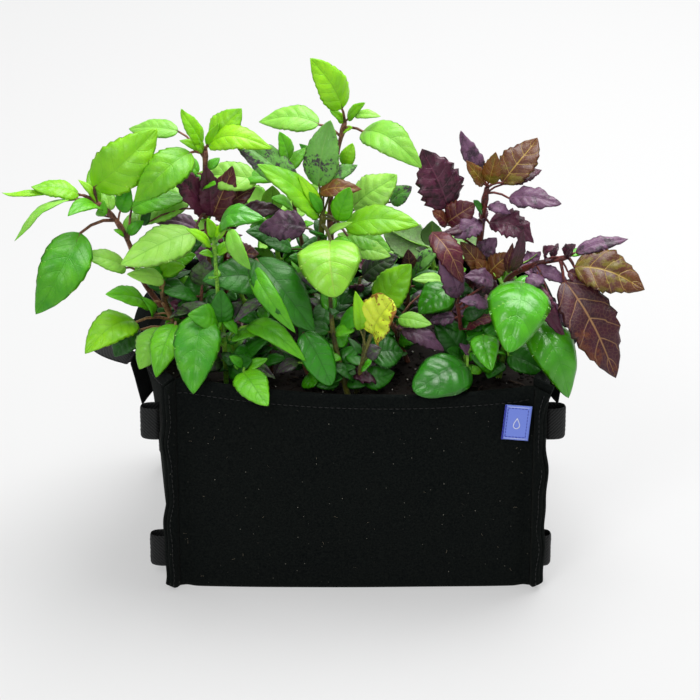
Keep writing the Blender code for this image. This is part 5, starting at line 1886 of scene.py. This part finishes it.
            Leaf(K.PURPLE, 0.72, (130, -52, 298), 11, 0.1, 40, (121, -44, 256)),
            Leaf(K.WINE, 0.7, (122, -48, 284), 9, 0.1, -30, (119, -42, 254)),
            Leaf(K.WINE, 0.95, (186, -46, 240), 14, foot=(166, -40, 254)),
            Leaf(K.PURPLE, 0.97, (158, -40, 276), 10, 0.4, 0, (150, -34, 262)),
            Leaf(K.PURPLE, 0.97, (172, -36, 276), 12, 0.2, 0, (164, -34, 264)),
            Leaf(K.PALE, 0.55, (108, -40, 252), 14)), (0.4, 0.9), K.PURPLE),
    )),
    Plant("back_left_shoot", "sweet_basil", StemKind.GREEN, (
        Sprig(((-54, 62, 158), (-62, 70, 205), (-66, 76, 240)), 2.1, (
            Leaf(K.FRESH, 1.0, (-104, 90, 262), 34, 0.15, 160),
            Leaf(K.FRESH, 1.0, (-30, 94, 262), 34, 0.15, 160),
            Leaf(K.FRESH, 0.7, (-74, 126, 214), 36, 0.25, 170),
            Leaf(K.FRESH, 0.5, (-96, 66, 212), 24, 0.15, 90),
            Leaf(K.SHADE, 0.5, (-30, 60, 214), 24, 0.15, -90),
            Leaf(K.BRIGHT, 1.0, (-66, 70, 272), 18, 0.1, 180)), (0.4, 0.7, 0.95)),
        Sprig(((-84, 50, 158), (-98, 58, 196), (-110, 62, 222)), 1.8, (
            Leaf(K.FRESH, 1.0, (-142, 78, 234), 26, 0.15, 160),
            Leaf(K.FRESH, 0.9, (-104, 92, 212), 24, 0.2, 170),
            Leaf(K.SHADE, 0.6, (-132, 46, 208), 24, 0.15)), (0.5, 0.95)),
    )),
    Plant("back_right_shoot", "variegated_basil", StemKind.GREEN, (
        Sprig(((62, 58, 158), (64, 66, 192), (62, 72, 212)), 2.1, (
            Leaf(K.SPECKLED, 1.0, (22, 88, 226), 32, 0.15, 160),
            Leaf(K.SPECKLED, 0.95, (100, 90, 220), 32, 0.15, 160),
            Leaf(K.GREYED, 0.7, (60, 120, 196), 34, 0.25, 170), Leaf(K.FRESH, 0.5, (90, 62, 200), 22, 0.15),
            Leaf(K.SPECKLED, 1.0, (62, 70, 240), 18, 0.1, 180)), (0.5, 0.9), K.GREYED),
        Sprig(((20, 60, 158), (14, 70, 190), (10, 76, 206)), 1.7, (
            Leaf(K.FRESH, 1.0, (-14, 92, 216), 24, 0.15, 160),
            Leaf(K.FRESH, 0.9, (34, 104, 202), 24, 0.2, 170),
            Leaf(K.PURPLE, 0.7, (-2, 56, 212), 20)), (0.6,)),
        Sprig(((112, 36, 158), (120, 44, 190), (124, 50, 208)), 1.7, (
            Leaf(K.PURPLE, 1.0, (150, 62, 216), 26, 0.15, 160),
            Leaf(K.PURPLE, 0.9, (112, 86, 204), 24, 0.2, 170),
            Leaf(K.DEEP, 0.7, (146, 26, 200), 28, 0.15)), (0.6,), K.PURPLE),
    )),
)


GREEN_UNDERGROWTH = (K.SHADE, K.SHADE, K.SHADE, K.FRESH, K.GREYED, K.DEEP)
PURPLE_UNDERGROWTH = (K.SHADE, K.SHADE, K.PURPLE, K.WINE, K.MAUVE)


@dataclass
class Planting:
    """All the shoots, each as one piece of stems and one of leaves."""

    maker: LeafMaker
    tuft_length: float = 12.0
    low_first: float = 176.0
    low_last: float = 232.0
    low_step: float = 13.0
    bed_half: tuple[float, float] = (130.0, 84.0)

    def stem(self, draft: Draft, sprig: Sprig, slot: int) -> np.ndarray:
        """Add one stem, a little four-sided and swollen where leaves join it.

        Args:
            draft: The draft that takes it.
            sprig: Its recipe.
            slot: Its material slot.

        Returns:
            The stem's middle line, in metres.
        """
        line = smooth_path(np.array(sprig.stem) * MM, 9)
        runs = np.linspace(0, 1, len(line))
        radii = sprig.radius * MM * (1.15 - 0.45 * runs)
        for at in {leaf.at for leaf in sprig.leaves if leaf.at < 0.99}:
            radii = radii * (1 + 0.22 * np.exp(-((runs - at) / 0.035) ** 2))
        draft.tube(line, radii, sides=12, slot=slot, square=0.07)
        return line

    def on_stem(self, line: np.ndarray, share: float) -> np.ndarray:
        """The point of a stem's line at a share of its length."""
        runs = run_lengths(line)
        return np.array([np.interp(share * runs[-1], runs, line[:, k]) for k in range(3)])

    def tufts(self, sprig: Sprig, line: np.ndarray, dice: random.Random) -> list[Leaf]:
        """Small paired leaves in the crooks of a stem.

        Args:
            sprig: The stem's recipe.
            line: Its middle line.
            dice: The plant's own random numbers.

        Returns:
            Their recipes.
        """
        made = []
        for share in sprig.tufts:
            root = self.on_stem(line, share) / MM
            turn = dice.uniform(0, math.pi)
            for k in range(2):
                angle = turn + math.pi * k + dice.uniform(-0.3, 0.3)
                reach = self.tuft_length * dice.uniform(0.75, 1.35)
                tip = (root[0] + math.cos(angle) * reach, root[1] + math.sin(angle) * reach,
                       root[2] + reach * dice.uniform(0.3, 0.9))
                made.append(Leaf(sprig.tuft_kind, share, tip, reach * dice.uniform(0.5, 0.75), 0.15,
                                 dice.uniform(-20, 20)))
        return made

    def undergrowth(self, plant: Plant, line: np.ndarray, dice: random.Random) -> list[Leaf]:
        """The low leaves that fill the bed between the stems, mostly in shade.

        Args:
            plant: The shoot's recipe.
            line: Its stem's middle line.
            dice: The plant's own random numbers.

        Returns:
            Their recipes.
        """
        made = []
        mix = PURPLE_UNDERGROWTH if plant.slot == "purple_basil" else GREEN_UNDERGROWTH
        runs = run_lengths(line)
        height = self.low_first
        while height < min(self.low_last, line[-1][2] / MM - 6):
            share = float(np.interp(height * MM, line[:, 2], runs) / runs[-1])
            root = self.on_stem(line, share) / MM
            turn = dice.uniform(0, math.pi)
            for k in range(2):
                angle = turn + math.pi * k + dice.uniform(-0.4, 0.4)
                reach = dice.uniform(16, 34)
                tip = (max(-self.bed_half[0], min(self.bed_half[0], root[0] + math.cos(angle) * reach)),
                       max(-self.bed_half[1], min(self.bed_half[1], root[1] + math.sin(angle) * reach)),
                       max(176.0, root[2] + reach * dice.uniform(-0.2, 0.75)))
                made.append(Leaf(dice.choice(mix), share, tip, reach * dice.uniform(0.5, 0.7),
                                 dice.uniform(0.08, 0.24), dice.uniform(-30, 30)))
            height += self.low_step * dice.uniform(0.8, 1.2)
        return made

    def grow(self, plant: Plant, stems: dict[StemKind, bpy.types.Material],
             blades: dict[LeafKind, bpy.types.Material]) -> None:
        """Build one shoot.

        Args:
            plant: Its recipe.
            stems: The stems' materials.
            blades: The blades' materials.
        """
        dice = random.Random(plant.node)
        stalks, leaves = Draft(), Draft()
        kinds = [stems[plant.stem]]
        slots: dict[LeafKind, int] = {}
        for sprig in plant.sprigs:
            line = self.stem(stalks, sprig, 0)
            low = self.undergrowth(plant, line, dice)
            for leaf in (*sprig.leaves, *self.tufts(sprig, line, dice), *low):
                if leaf.kind not in slots:
                    slots[leaf.kind] = len(kinds)
                    kinds.append(blades[leaf.kind])
                self.maker.add(leaves, self.on_stem(line, leaf.at), leaf, slots[leaf.kind], 0, dice)
        place(leaves.build(plant.node + "_leaves", kinds), plant.slot, plant.node)
        place(stalks.build(plant.node + "_stems", [stems[plant.stem]]), plant.slot)

    def build(self) -> None:
        """Grow every shoot."""
        stems = {kind: kind.value.material() for kind in StemKind}
        blades = {kind: kind.finish.material() for kind in LeafKind}
        for plant in PLANTS:
            self.grow(plant, stems, blades)


def main() -> None:
    """Build the studio, the bag, its fill and the plants."""
    logging.basicConfig(level=logging.INFO, format="%(message)s")
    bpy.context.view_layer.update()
    form = BagForm()
    Studio().build()
    FeltBag(form).build()
    Webbing(form).build()
    WovenLabel().build()
    PottingBed(form).build()
    Planting(LeafMaker()).build()


if __name__ == "__main__":
    main()
